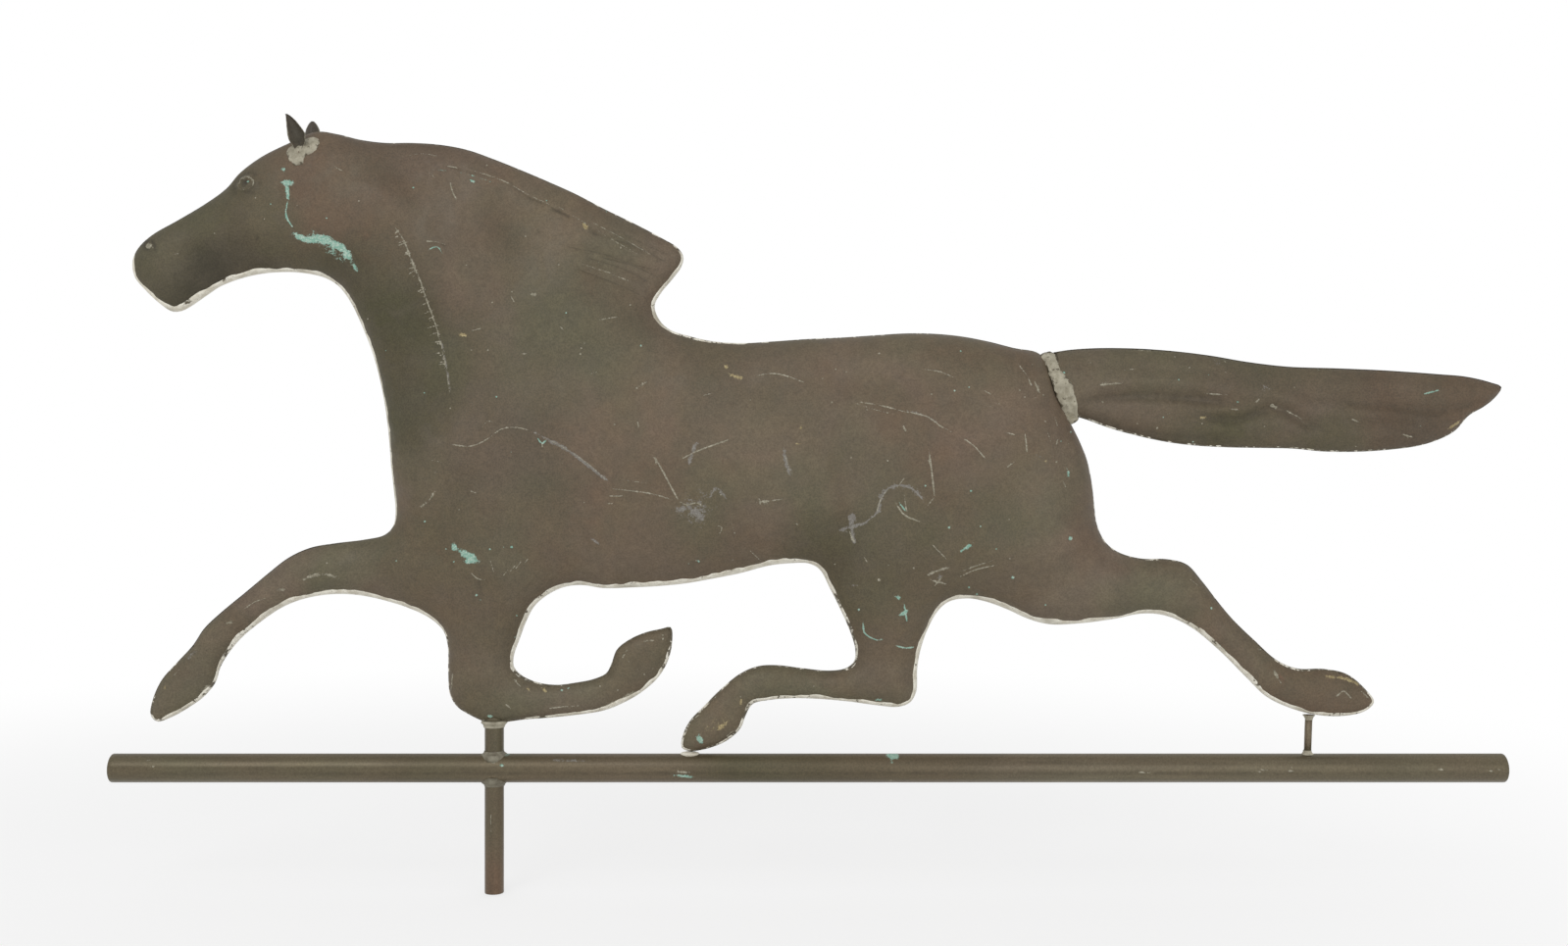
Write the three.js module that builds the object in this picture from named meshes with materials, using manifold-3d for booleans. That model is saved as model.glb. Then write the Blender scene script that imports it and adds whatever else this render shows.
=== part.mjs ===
// Horse weathervane: a running horse of pressed copper halves on a post and a crossbar.
// Millimetres. The origin is on the post's axis at its lower end, +Z is up, +X is towards
// the tail, and the near side faces -Y. Outlines are tables of shares: hundredths of the
// horse's length, across from the post's axis and up from the crossbar's axis.

import * as THREE from 'three';
import { mergeVertices } from 'three/addons/utils/BufferGeometryUtils.js';
import Module from 'manifold-3d';

const wasm = await Module();
wasm.setup();

// Clearances
const seatGap = 0.3; // between a piece and the neighbour that carries it
const overrun = 5; // how far a cut runs past what it cuts

// Horse
const horseLength = 916; // nose to tip of tail
const sheet = 1.1; // thickness of the pressed copper
const rollWidth = 36; // width over which the pressed edge rolls over
const facetSize = 25; // spacing of the points in the middle of a pressed sheet
const edgeStep = 11; // spacing of the points along an outline

// Half thickness of the horse at its stations
const shoulderDepth = 28;
const barrelDepth = 27;
const haunchDepth = 28;
const neckDepth = 21;
const cheekDepth = 18;
const muzzleDepth = 12;
const maneDepth = 11;
const thighDepth = 19;
const kneeDepth = 15;
const shinDepth = 12;
const hoofDepth = 10;
const tailRootDepth = 13;
const tailDepth = 11;

// Solder
const seamReach = 2; // width of the seam solder, outwards from the sheets' edges
const seamHeight = 4; // its thickness across the seam
const seamCrown = 2; // the same at its outer side
const patchHeight = 1.6; // how far soldered joints stand proud of the sheet
const filletHeight = 2.2;
const filletReach = 1.9;
const hoofLift = 1.9; // height of the pad between the crossbar and the bent hind hoof
const hoofPadLength = 13;
const hoofPadWidth = 9;

// Ears
const earHeight = 22;
const earWidth = 12.5;
const earFold = 4.5; // how far the leaf's middle stands out from its edges
const earSheet = 1;
const earLean = 5; // how far the near ear's tip is bent towards the nose

// Post, crossbar and strut
const postDiameter = 12.7;
const postWall = 1.2;
const postBelowBar = 83.4; // from the lower end to the crossbar's axis
const postAboveBar = 205; // from the crossbar's axis to the upper end, in the chest
const barDiameter = 19.05;
const barWall = 1.3;
const barPastNose = 13.7; // how far its front end lies ahead of the nose
const barPastStrut = 130; // how far its rear end lies behind the strut
const strutDiameter = 4.8;
const strutLean = 0.9; // how far the strut's foot stands back towards the post
const strutSolderReach = 1.3;
const strutSolderHeight = 2.4;

// Spindle and pivot cap
const spindleDiameter = 9.5;
const socketDepth = 4.2;
const socketDiameter = 8.4;
const capStem = 12;
const capFlange = 3;

// Counts of sides
const postSides = 24;
const barSides = 32;
const strutSides = 12;
const earColumns = 6;
const padSides = 20;
const frameSize = 20; // size of the triangle that a net of points starts from, over theirs

const unit = horseLength / 100;
const postRadius = postDiameter / 2;
const barRadius = barDiameter / 2;
const strutRadius = strutDiameter / 2;
const barTop = postBelowBar + barRadius;
const postLength = postBelowBar + postAboveBar;
const seamHalf = seamHeight / 2;

const bodyShares = [
  // face, nose and jaw
  [-13.0, 46.5], [-15.0, 45.65], [-17.0, 44.65], [-18.6, 43.45], [-19.5, 42.4], [-21.0, 41.3],
  [-23.0, 40.1], [-25.0, 38.95], [-26.0, 38.0], [-26.4, 37.0], [-26.25, 35.9], [-25.5, 34.95],
  [-24.5, 34.0], [-23.6, 33.4], [-23.0, 33.38], [-22.4, 33.65], [-21.0, 34.6], [-20.0, 35.25],
  [-18.0, 35.95], [-16.0, 36.25], [-14.0, 36.2], [-12.4, 35.85], [-11.4, 35.25], [-10.5, 34.1],
  // chest
  [-9.5, 32.0], [-8.75, 30.0], [-8.23, 28.0], [-7.87, 26.0], [-7.63, 24.0], [-7.48, 22.0],
  [-7.25, 20.0], [-7.17, 18.6], [-7.35, 17.7], [-8.0, 17.05],
  // stretched foreleg, upper then lower edge
  [-9.5, 16.7], [-11.5, 16.45], [-13.4, 16.12], [-15.0, 15.4], [-16.5, 14.25], [-18.0, 13.0],
  [-20.0, 11.35], [-21.2, 10.2], [-22.0, 9.0], [-23.2, 7.7], [-24.3, 6.45], [-24.95, 5.0],
  [-25.1, 3.9], [-24.65, 3.4], [-23.6, 3.72], [-22.4, 4.38], [-21.2, 5.25], [-20.4, 6.25],
  [-20.05, 7.35], [-19.5, 8.3], [-18.5, 9.5], [-17.0, 10.75], [-15.5, 11.75], [-14.0, 12.35],
  [-12.0, 12.7], [-10.0, 12.65], [-8.0, 12.25], [-6.0, 11.6], [-4.6, 10.9], [-3.7, 10.05],
  [-3.38, 9.0], [-3.35, 7.0], [-3.22, 5.4], [-2.7, 4.5], [-1.7, 3.85], [-0.7, 3.42],
  // bent foreleg
  [0.7, 3.35], [2.0, 3.52], [4.0, 3.67], [6.0, 3.88], [8.0, 4.2], [9.4, 4.75], [10.7, 5.5],
  [12.0, 6.65], [12.75, 8.0], [13.02, 9.4], [12.9, 10.3], [12.2, 10.18], [11.0, 9.9],
  [9.8, 9.35], [8.95, 8.65], [8.6, 7.75], [8.2, 6.95], [7.3, 6.52], [6.0, 6.25], [4.4, 6.08],
  [3.0, 6.3], [1.95, 6.8], [1.42, 7.4], [1.42, 8.2], [1.8, 9.3], [2.35, 10.75], [2.95, 11.85],
  [3.8, 12.6], [5.0, 13.2], [6.3, 13.38],
  // belly
  [8.0, 13.15], [10.0, 13.2], [12.0, 13.3], [14.0, 13.5], [16.0, 13.85], [18.0, 14.25],
  [20.0, 14.78], [21.6, 14.97], [23.0, 14.95], [23.8, 14.5], [24.5, 13.2], [25.3, 11.6],
  [26.0, 10.0], [26.38, 8.7], [26.3, 7.8], [25.7, 7.3],
  // bent hind leg
  [24.5, 7.12], [22.5, 7.3], [20.7, 7.52], [19.3, 7.45], [18.0, 6.92], [16.6, 5.8], [15.3, 4.5],
  [14.3, 3.45], [13.78, 2.4], [13.7, 1.5], [14.2, 1.25], [15.5, 1.4], [17.0, 2.0], [18.0, 2.9],
  [18.4, 3.9], [18.9, 4.68], [20.0, 4.95], [22.0, 5.1], [24.0, 5.03], [26.0, 4.85],
  [28.0, 4.58], [29.5, 4.47], [30.4, 4.8], [30.85, 5.6], [30.92, 7.3], [31.2, 8.8],
  [31.7, 10.2], [32.4, 11.45], [33.2, 12.15], [34.6, 12.4],
  // stretched hind leg, lower then upper edge
  [36.0, 12.15], [37.5, 11.6], [39.0, 10.92], [40.5, 10.52], [42.5, 10.55], [45.0, 10.85],
  [47.5, 11.3], [49.2, 11.1], [51.0, 10.25], [53.0, 8.6], [55.0, 6.6], [56.4, 5.25],
  [58.0, 4.45], [60.0, 3.9], [62.0, 3.8], [63.6, 4.15], [64.3, 4.85], [63.6, 5.85],
  [62.3, 6.88], [60.6, 7.25], [58.7, 7.28], [57.2, 7.9], [55.5, 9.4], [54.0, 10.85],
  [52.9, 12.15], [51.7, 13.7], [50.6, 14.9], [49.2, 15.27], [47.2, 15.33], [45.6, 15.8],
  [44.6, 16.6], [44.0, 17.9],
  // rump and back
  [43.85, 19.0], [43.65, 20.8], [43.3, 22.5], [42.7, 24.0], [41.8, 25.8], [41.2, 27.2],
  [40.7, 28.7], [40.15, 29.95], [39.6, 30.4], [38.0, 30.7], [36.0, 31.2], [34.0, 31.57],
  [32.0, 31.75], [30.0, 31.77], [28.0, 31.65], [25.5, 31.48], [23.0, 31.37], [20.5, 31.2],
  [18.2, 31.07], [16.0, 31.2], [14.3, 31.57], [12.8, 32.07],
  // mane
  [12.05, 32.8], [11.72, 33.8], [12.2, 34.75], [13.0, 35.72], [13.7, 36.7], [13.82, 37.4],
  [13.4, 38.05], [12.3, 38.72], [10.5, 39.68], [8.0, 40.9], [6.0, 41.95], [4.0, 42.85],
  [2.0, 43.7], [0.0, 44.5], [-2.0, 45.2], [-4.0, 45.57], [-6.0, 45.7], [-8.0, 45.7],
  [-9.8, 45.93], [-11.4, 46.32],
];

const tailEdgeShares = [
  [42.3, 25.75], [43.2, 25.5], [45.0, 24.85], [47.0, 24.3], [49.0, 23.87], [51.0, 23.6],
  [53.5, 23.45], [56.0, 23.4], [58.4, 23.35], [60.5, 23.15], [63.0, 23.12], [65.5, 23.28],
  [67.5, 23.55], [69.0, 24.0], [70.2, 24.65], [71.2, 25.75], [72.3, 26.4], [73.1, 27.05],
  [73.6, 27.85], [72.8, 28.2], [71.0, 28.62], [69.0, 28.8], [65.0, 29.08], [61.5, 29.23],
  [58.0, 29.35], [55.0, 29.7], [52.5, 30.13], [50.0, 30.45], [47.0, 30.67], [44.0, 30.7],
  [42.0, 30.57], [40.9, 30.4],
];
const tailRootShares = [[41.1, 29.3], [41.6, 27.9], [42.1, 26.6]];

const tailSolderShares = [
  [39.8, 30.1], [40.2, 29.2], [40.6, 28.0], [40.95, 27.0], [41.4, 26.0], [42.05, 25.1],
  [42.75, 25.7], [42.55, 26.3], [42.3, 27.2], [42.05, 28.0], [41.4, 28.9], [41.05, 29.7],
  [40.85, 30.35], [40.3, 30.4],
];
const tailLapCount = 6; // how many of these places lie on the rump, from the top down
const earSolderShares = [
  [-14.7, 45.0], [-14.65, 44.55], [-14.05, 43.8], [-13.65, 43.85], [-13.3, 44.5],
  [-12.8, 44.8], [-12.5, 45.3], [-12.65, 45.75], [-13.15, 45.85], [-13.9, 45.55],
];

// Places across the body and the half thickness there
const bodyStations = [
  { share: [-24.5, 37.0], depth: muzzleDepth }, { share: [-21.0, 38.5], depth: muzzleDepth },
  { share: [-16.0, 40.0], depth: cheekDepth }, { share: [-13.0, 43.5], depth: cheekDepth },
  { share: [-8.0, 40.0], depth: neckDepth }, { share: [-2.0, 38.0], depth: neckDepth },
  { share: [-5.0, 43.5], depth: maneDepth }, { share: [3.0, 40.5], depth: maneDepth },
  { share: [11.0, 36.5], depth: maneDepth }, { share: [-3.0, 29.0], depth: neckDepth },
  { share: [5.0, 32.0], depth: neckDepth }, { share: [-3.0, 21.0], depth: shoulderDepth },
  { share: [5.0, 24.0], depth: shoulderDepth }, { share: [14.0, 23.0], depth: barrelDepth },
  { share: [24.0, 22.0], depth: barrelDepth }, { share: [36.0, 23.0], depth: haunchDepth },
  { share: [33.0, 28.0], depth: haunchDepth }, { share: [39.0, 17.0], depth: haunchDepth },
  { share: [-4.0, 15.0], depth: thighDepth }, { share: [0.0, 11.0], depth: thighDepth },
  { share: [-12.0, 14.5], depth: kneeDepth }, { share: [-18.5, 10.8], depth: shinDepth },
  { share: [-23.0, 5.6], depth: hoofDepth }, { share: [-1.0, 6.0], depth: kneeDepth },
  { share: [6.0, 5.1], depth: shinDepth }, { share: [11.2, 8.2], depth: hoofDepth },
  { share: [28.0, 13.0], depth: thighDepth }, { share: [28.6, 7.0], depth: kneeDepth },
  { share: [21.0, 6.2], depth: shinDepth }, { share: [15.8, 3.2], depth: hoofDepth },
  { share: [42.0, 13.0], depth: thighDepth }, { share: [49.0, 13.2], depth: kneeDepth },
  { share: [54.5, 8.7], depth: shinDepth }, { share: [61.0, 5.5], depth: hoofDepth },
];
const tailStations = [
  { share: [42.5, 28.3], depth: tailRootDepth }, { share: [50.0, 27.0], depth: tailDepth },
  { share: [65.0, 26.0], depth: tailDepth },
];

const ringShares = [0.05, 0.22, 0.6]; // rows of points inside an edge, as shares of its roll
const ringThinShare = 0.8; // least spacing in a row, as a share of the step between rows
const facetThinShare = 0.6; // least distance of a middle point to a row, as a share of facetSize
const leafShares = [0.62, 0.92, 1, 0.9, 0.68, 0.4, 0.07]; // the ear's width from base to tip
const nearEarShare = [-14.0, 45.0]; // middle of the ear's base
const farEarShare = [-13.6, 45.0];
const strutShare = 59.55; // place of the strut's top
const hoofPadShare = 14.3; // place of the bent hind hoof's lowest point
const noseShare = Math.min(...bodyShares.map((share) => share[0]));
const lowestShare = Math.min(...bodyShares.map((share) => share[1]));
const horseBase = barTop + hoofLift - lowestShare * unit;
const barAhead = barPastNose - noseShare * unit; // from the post's axis to the front end
const barBehind = barPastStrut + strutShare * unit; // and to the rear end
const nearnessPower = 1.5; // how fast a station counts for less with distance

// A place in the horse's plane from its two shares, as x and height
function place([across, up]) {
  return new THREE.Vector2(across * unit, horseBase + up * unit);
}

// Points at about one edgeStep apart along a smooth curve through the places
function trace(shares, closed) {
  const places = shares.map(place);
  const spatial = places.map((p) => new THREE.Vector3(p.x, p.y, 0));
  const curve = new THREE.CatmullRomCurve3(spatial, closed, 'centripetal');
  const spans = closed ? places.length : places.length - 1;
  const points = [];
  for (let span = 0; span < spans; span += 1) {
    const length = places[span].distanceTo(places[(span + 1) % places.length]);
    const steps = Math.max(1, Math.round(length / edgeStep));
    for (let step = 0; step < steps; step += 1) {
      const point = curve.getPoint((span + step / steps) / spans);
      points.push(new THREE.Vector2(point.x, point.y));
    }
  }
  if (!closed) points.push(places[places.length - 1]);
  return points;
}

// Unit vectors that point into a loop which runs anticlockwise
function inwardNormals(loop) {
  return loop.map((point, index) => {
    const before = loop[(index + loop.length - 1) % loop.length];
    const after = loop[(index + 1) % loop.length];
    const along = after.clone().sub(point).normalize().add(point.clone().sub(before).normalize());
    return new THREE.Vector2(-along.y, along.x).normalize();
  });
}

// Moves the first points of a loop inwards, all of them if no count is given
function moveInwards(loop, distance, count = loop.length) {
  const normals = inwardNormals(loop);
  return loop.map((point, index) => (
    index < count ? point.clone().addScaledVector(normals[index], distance) : point.clone()));
}

function isInside(point, loop) {
  let inside = false;
  loop.forEach((a, index) => {
    const b = loop[(index + 1) % loop.length];
    if (a.y > point.y === b.y > point.y) return;
    if (point.x < a.x + ((point.y - a.y) * (b.x - a.x)) / (b.y - a.y)) inside = !inside;
  });
  return inside;
}

// Circle through three points of the plane
function circleThrough(points, a, b, c) {
  const ab = points[b].clone().sub(points[a]);
  const ac = points[c].clone().sub(points[a]);
  const doubled = 2 * ab.cross(ac);
  const x = (ac.y * ab.lengthSq() - ab.y * ac.lengthSq()) / doubled;
  const y = (ab.x * ac.lengthSq() - ac.x * ab.lengthSq()) / doubled;
  const offset = new THREE.Vector2(x, y);
  return { corners: [a, b, c], centre: offset.clone().add(points[a]), radiusSq: offset.lengthSq() };
}

// Sides that only one of the triangles has
function outerSides(triangles) {
  const sides = new Map();
  triangles.forEach(({ corners }) => {
    corners.forEach((from, index) => {
      const to = corners[(index + 1) % 3];
      const twin = `${to}_${from}`;
      if (sides.has(twin)) sides.delete(twin);
      else sides.set(`${from}_${to}`, [from, to]);
    });
  });
  return [...sides.values()];
}

// Joins points into triangles whose circumcircles hold no other point, kept inside the loop
function triangulate(points, loop) {
  const box = new THREE.Box2().setFromPoints(points);
  const centre = box.getCenter(new THREE.Vector2());
  const reach = box.getSize(new THREE.Vector2()).length() * frameSize;
  const frame = [0, 1, 2].map((turn) => {
    const angle = (turn * 2 * Math.PI) / 3;
    return new THREE.Vector2(Math.cos(angle), Math.sin(angle)).multiplyScalar(reach).add(centre);
  });
  const all = [...points, ...frame];
  const count = points.length;
  let triangles = [circleThrough(all, count, count + 1, count + 2)];
  points.forEach((point, index) => {
    const holds = (t) => point.distanceToSquared(t.centre) < t.radiusSq;
    const sides = outerSides(triangles.filter(holds));
    triangles = triangles.filter((t) => !holds(t));
    sides.forEach(([from, to]) => triangles.push(circleThrough(all, from, to, index)));
  });
  return triangles.map((t) => t.corners).filter((corners) => {
    if (corners.some((corner) => corner >= count)) return false;
    const middle = new THREE.Vector2();
    corners.forEach((corner) => middle.add(points[corner]));
    return isInside(middle.divideScalar(3), loop);
  });
}

// Plan points of a pressed sheet: its outline, rows inside its free edge and a middle field
function sheetPoints(loop, freeCount) {
  const points = [...loop];
  const free = loop.slice(0, freeCount);
  const isClear = (point, spacing) => isInside(point, loop)
    && points.every((other) => point.distanceTo(other) > spacing);
  ringShares.forEach((share, row) => {
    const step = (share - (ringShares[row - 1] ?? 0)) * rollWidth;
    moveInwards(loop, share * rollWidth).slice(0, free.length).forEach((point) => {
      if (isClear(point, step * ringThinShare)) points.push(point);
    });
  });
  const box = new THREE.Box2().setFromPoints(loop);
  const rowStep = (facetSize * Math.sqrt(3)) / 2;
  for (let row = 0; box.min.y + row * rowStep < box.max.y; row += 1) {
    const start = box.min.x + ((row % 2) * facetSize) / 2;
    for (let column = 0; start + column * facetSize < box.max.x; column += 1) {
      const point = new THREE.Vector2(start + column * facetSize, box.min.y + row * rowStep);
      if (isClear(point, facetSize * facetThinShare)) points.push(point);
    }
  }
  return points;
}

// Smoothed distance to the free edge: the true one beside a single long edge, and less
// between two, so that a narrow leg comes out round instead of ridged
function softDistance(point, form) {
  let sum = 0;
  for (let index = 0; index < form.segments; index += 1) {
    const a = form.loop[index];
    const b = form.loop[(index + 1) % form.loop.length];
    const along = b.clone().sub(a);
    const length = along.length();
    const toPoint = point.clone().sub(a);
    const foot = toPoint.dot(along) / length;
    const away = (toPoint.cross(along) / length) ** 2 + Number.EPSILON * length ** 2;
    const end = (length - foot) / Math.sqrt(away + (length - foot) ** 2);
    const start = -foot / Math.sqrt(away + foot ** 2);
    sum += (end - start) / away;
  }
  return Math.sqrt(2 / Math.max(sum, Number.EPSILON));
}

// Half thickness at a point, blended between the stations by their nearness
function depthAt(point, stations) {
  let depth = 0;
  let total = 0;
  stations.forEach((station) => {
    const spacing = point.distanceToSquared(place(station.share)) + unit * unit;
    const weight = 1 / spacing ** nearnessPower;
    depth += weight * station.depth;
    total += weight;
  });
  return depth / total;
}

// A pressed half before it gets its thickness: plan points, triangles, distances and depths
function pressedForm(loop, freeCount, stations) {
  const closed = freeCount === loop.length;
  const form = { loop, freeCount, stations, segments: closed ? freeCount : freeCount - 1 };
  form.points = sheetPoints(loop, freeCount);
  form.triangles = triangulate(form.points, loop);
  form.distances = form.points.map((p, index) => (index < freeCount ? 0 : softDistance(p, form)));
  form.depths = form.points.map((p) => depthAt(p, stations));
  form.normals = inwardNormals(loop);
  return form;
}

// One layer of a form, moved inwards by inset: y is the height over the seam's plane
function layer(form, inset) {
  return form.points.map((point, index) => {
    if (index < form.freeCount) {
      const edge = point.clone().addScaledVector(form.normals[index], inset);
      return new THREE.Vector3(edge.x, 0, edge.y);
    }
    const share = Math.min(Math.max((form.distances[index] - inset) / (rollWidth - inset), 0), 1);
    const height = (form.depths[index] - inset) * Math.sqrt(1 - (1 - share) ** 2);
    return new THREE.Vector3(point.x, -height, point.y);
  });
}

function geometryFrom(vertices, faces) {
  const geometry = new THREE.BufferGeometry();
  const numbers = vertices.flatMap((vertex) => vertex.toArray());
  geometry.setAttribute('position', new THREE.Float32BufferAttribute(numbers, 3));
  geometry.setIndex(faces.flat());
  return geometry;
}

// Quads, as triangle pairs, that close the gap between a loop of the outer layer and the same
// loop of the inner layer
function wallFaces(count, offset) {
  const faces = [];
  for (let index = 0; index < count; index += 1) {
    const next = (index + 1) % count;
    faces.push([index, index + offset, next], [next, index + offset, next + offset]);
  }
  return faces;
}

// Near half of a form as a sheet with the named thickness
function pressedSheet(form) {
  const count = form.points.length;
  const outer = form.triangles;
  const inner = form.triangles.map(([a, b, c]) => [a + count, c + count, b + count]);
  const vertices = [...layer(form, 0), ...layer(form, sheet)];
  return solid(geometryFrom(vertices, [...outer, ...inner, ...wallFaces(form.loop.length, count)]));
}

// Near half of a form, filled and grown outwards, to cut its neighbours with
function filledForm(form, growth) {
  const count = form.points.length;
  const top = layer(form, -growth);
  const floor = top.map((point) => new THREE.Vector3(point.x, overrun, point.z));
  const under = form.triangles.map(([a, b, c]) => [a + count, c + count, b + count]);
  const faces = [...form.triangles, ...under, ...wallFaces(form.loop.length, count)];
  return solid(geometryFrom([...top, ...floor], faces));
}

// Turns a closed geometry into a solid that can be cut and joined
function solid(geometry) {
  const bare = geometry.clone();
  bare.deleteAttribute('normal');
  bare.deleteAttribute('uv');
  const merged = mergeVertices(bare);
  return new wasm.Manifold(new wasm.Mesh({
    numProp: 3,
    vertProperties: new Float32Array(merged.attributes.position.array),
    triVerts: new Uint32Array(merged.index.array),
  }));
}

function geometryOf(manifold) {
  const mesh = manifold.getMesh();
  const geometry = new THREE.BufferGeometry();
  geometry.setAttribute('position', new THREE.Float32BufferAttribute(mesh.vertProperties, 3));
  geometry.setIndex(new THREE.Uint32BufferAttribute(mesh.triVerts, 1));
  return geometry;
}

// The largest of the bodies that a cut leaves
function largest(manifold) {
  const bodies = manifold.decompose();
  return bodies.reduce((best, body) => (body.volume() > best.volume() ? body : best));
}

// The same piece on the far side of the seam
function mirrored(geometry) {
  const copy = geometry.clone();
  const { position } = copy.attributes;
  for (let index = 0; index < position.count; index += 1) {
    position.setY(index, -position.getY(index));
  }
  const faces = copy.index.array;
  for (let face = 0; face < faces.length; face += 3) {
    const kept = faces[face + 1];
    faces[face + 1] = faces[face + 2];
    faces[face + 2] = kept;
  }
  return copy;
}

// A turned piece with its axis up, from [radius, height] pairs that run up the outside
function turned(profile, sides) {
  const points = profile.map(([radius, height]) => new THREE.Vector2(radius, height));
  return new THREE.LatheGeometry(points, sides).rotateX(Math.PI / 2);
}

function ring(innerRadius, outerRadius, bottom, top, sides) {
  return turned([
    [innerRadius, bottom], [outerRadius, bottom], [outerRadius, top], [innerRadius, top],
    [innerRadius, bottom],
  ], sides);
}

function rod(radius, bottom, top, sides) {
  return turned([[0, bottom], [radius, bottom], [radius, top], [0, top]], sides);
}

// A prism of an outline in the horse's plane, between two distances on the near side
function prism(loop, from, to) {
  const shape = new THREE.Shape(loop);
  const geometry = new THREE.ExtrudeGeometry(shape, { depth: to - from, bevelEnabled: false });
  return geometry.translate(0, 0, from).rotateX(Math.PI / 2);
}

// Lowest point of the horse's outline within reach of a place on the crossbar
function undersideAt(x, reach) {
  let lowest = Infinity;
  seamLoop.forEach((a, index) => {
    const b = seamLoop[(index + 1) % seamLoop.length];
    [x - reach, x, x + reach].forEach((station) => {
      if (a.x > station === b.x > station) return;
      lowest = Math.min(lowest, a.y + ((station - a.x) * (b.y - a.y)) / (b.x - a.x));
    });
    if (Math.abs(a.x - x) < reach) lowest = Math.min(lowest, a.y);
  });
  return lowest;
}

// Solder that runs along the sheets' edges, wide at the sheets and narrow outside
function seamSolder(loop, count) {
  const closed = count === loop.length;
  const inner = moveInwards(loop, seamReach);
  const crown = seamCrown / 2;
  const vertices = [];
  for (let index = 0; index < count; index += 1) {
    const inside = inner[index];
    const outside = loop[index];
    vertices.push(
      new THREE.Vector3(inside.x, -seamHalf, inside.y),
      new THREE.Vector3(outside.x, -crown, outside.y),
      new THREE.Vector3(outside.x, crown, outside.y),
      new THREE.Vector3(inside.x, seamHalf, inside.y),
    );
  }
  const faces = [];
  for (let index = 0; index < (closed ? count : count - 1); index += 1) {
    const here = index * 4;
    const next = ((index + 1) % count) * 4;
    for (let side = 0; side < 4; side += 1) {
      const turn = (side + 1) % 4;
      faces.push([here + side, here + turn, next + side], [here + turn, next + turn, next + side]);
    }
  }
  const last = (count - 1) * 4;
  if (!closed) {
    faces.push([0, 2, 1], [0, 3, 2]);
    faces.push([last, last + 1, last + 2], [last, last + 2, last + 3]);
  }
  return solid(geometryFrom(vertices, faces));
}

// Room that the solder along a seam and the sheets' edges take up near the seam's plane
function seamCut(loop) {
  return solid(prism(moveInwards(loop, -seatGap), -seamHalf - seatGap, seamHalf + seatGap));
}

// Skin of solder on the head round an ear's foot
function makeEarSolder(earShare, lean) {
  const blank = solid(prism(earSolderShares.map(place), seamHalf + seatGap, shoulderDepth * 2));
  const skin = blank.intersect(filledForm(bodyForm, seatGap + patchHeight));
  const taken = filledForm(bodyForm, seatGap).add(earCut(earShare, lean));
  return geometryOf(largest(skin.subtract(taken)));
}

// Solder between rump and tail: it fills the groove and laps over both
function makeTailJoint() {
  const outline = tailSolderShares.map(place);
  const sleeve = [...tailLoop.slice(0, tailEdge.length), ...outline.slice(0, tailLapCount)];
  const cover = filledForm(pressedForm(sleeve, tailEdge.length, tailStations), seatGap + patchHeight);
  const blank = solid(prism(outline, seatGap / 2, shoulderDepth * 2)).intersect(cover);
  const sheets = filledForm(bodyForm, seatGap).add(filledForm(tailForm, seatGap));
  const seams = seamCut(seamLoop).add(seamCut(tailSeamLoop));
  return geometryOf(largest(blank.subtract(sheets).subtract(seams)));
}

// Distance from the seam's plane at which an ear stands on the head
function earStand(earShare) {
  const base = place(earShare);
  const reach = (earWidth / 2) * leafShares[0];
  const heights = [-reach, 0, reach].map((across) => (
    bodyHeight(new THREE.Vector2(base.x + across, base.y))));
  return Math.max(...heights) + seatGap;
}

// Points of one face of an ear, row by row from base to tip
function earGrid(earShare, lean, stand, fold, growth) {
  const base = place(earShare);
  return leafShares.flatMap((share, row) => {
    const rise = row / (leafShares.length - 1);
    const half = (earWidth / 2) * share + growth;
    return Array.from({ length: earColumns + 1 }, (_, column) => {
      const across = (column / earColumns) * 2 - 1;
      const bulge = fold * share * (1 - across * across);
      const x = base.x + across * half - lean * rise * rise;
      const up = rise * (earHeight + 2 * growth) - growth;
      return new THREE.Vector3(x, -(stand + bulge), base.y + up);
    });
  });
}

// Folded leaf of an ear, with its hollow side towards the head
function earLeaf(earShare, lean) {
  const stand = earStand(earShare);
  const front = earGrid(earShare, lean, stand + earSheet, earFold, 0);
  const back = earGrid(earShare, lean, stand, earFold, 0);
  return geometryFrom([...front, ...back], gridFaces(leafShares.length, earColumns + 1));
}

// What an ear's leaf clears in the solder round it, all the way down through it
function earCut(earShare, lean) {
  const front = earGrid(earShare, lean, earStand(earShare) + earSheet + seatGap, earFold, seatGap);
  const back = earGrid(earShare, lean, 0, 0, seatGap);
  return solid(geometryFrom([...front, ...back], gridFaces(leafShares.length, earColumns + 1)));
}

// Faces of a slab whose front and back are grids of the same size
function gridFaces(rows, columns) {
  const count = rows * columns;
  const faces = [];
  for (let row = 0; row < rows - 1; row += 1) {
    for (let column = 0; column < columns - 1; column += 1) {
      const a = row * columns + column;
      const [b, c, d] = [a + 1, a + columns, a + columns + 1];
      faces.push([a, b, d], [a, d, c]);
      faces.push([a + count, d + count, b + count], [a + count, c + count, d + count]);
    }
  }
  const rim = [];
  for (let column = 0; column < columns - 1; column += 1) rim.push(column);
  for (let row = 0; row < rows - 1; row += 1) rim.push(row * columns + columns - 1);
  for (let column = columns - 1; column > 0; column -= 1) rim.push((rows - 1) * columns + column);
  for (let row = rows - 1; row > 0; row -= 1) rim.push(row * columns);
  rim.forEach((from, index) => {
    const to = rim[(index + 1) % rim.length];
    faces.push([from, from + count, to], [to, from + count, to + count]);
  });
  return faces;
}

// Height of the near half of the body over the seam's plane
function bodyHeight(point) {
  const share = Math.min(softDistance(point, bodyForm) / rollWidth, 1);
  return depthAt(point, bodyStations) * Math.sqrt(1 - (1 - share) ** 2);
}

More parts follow.
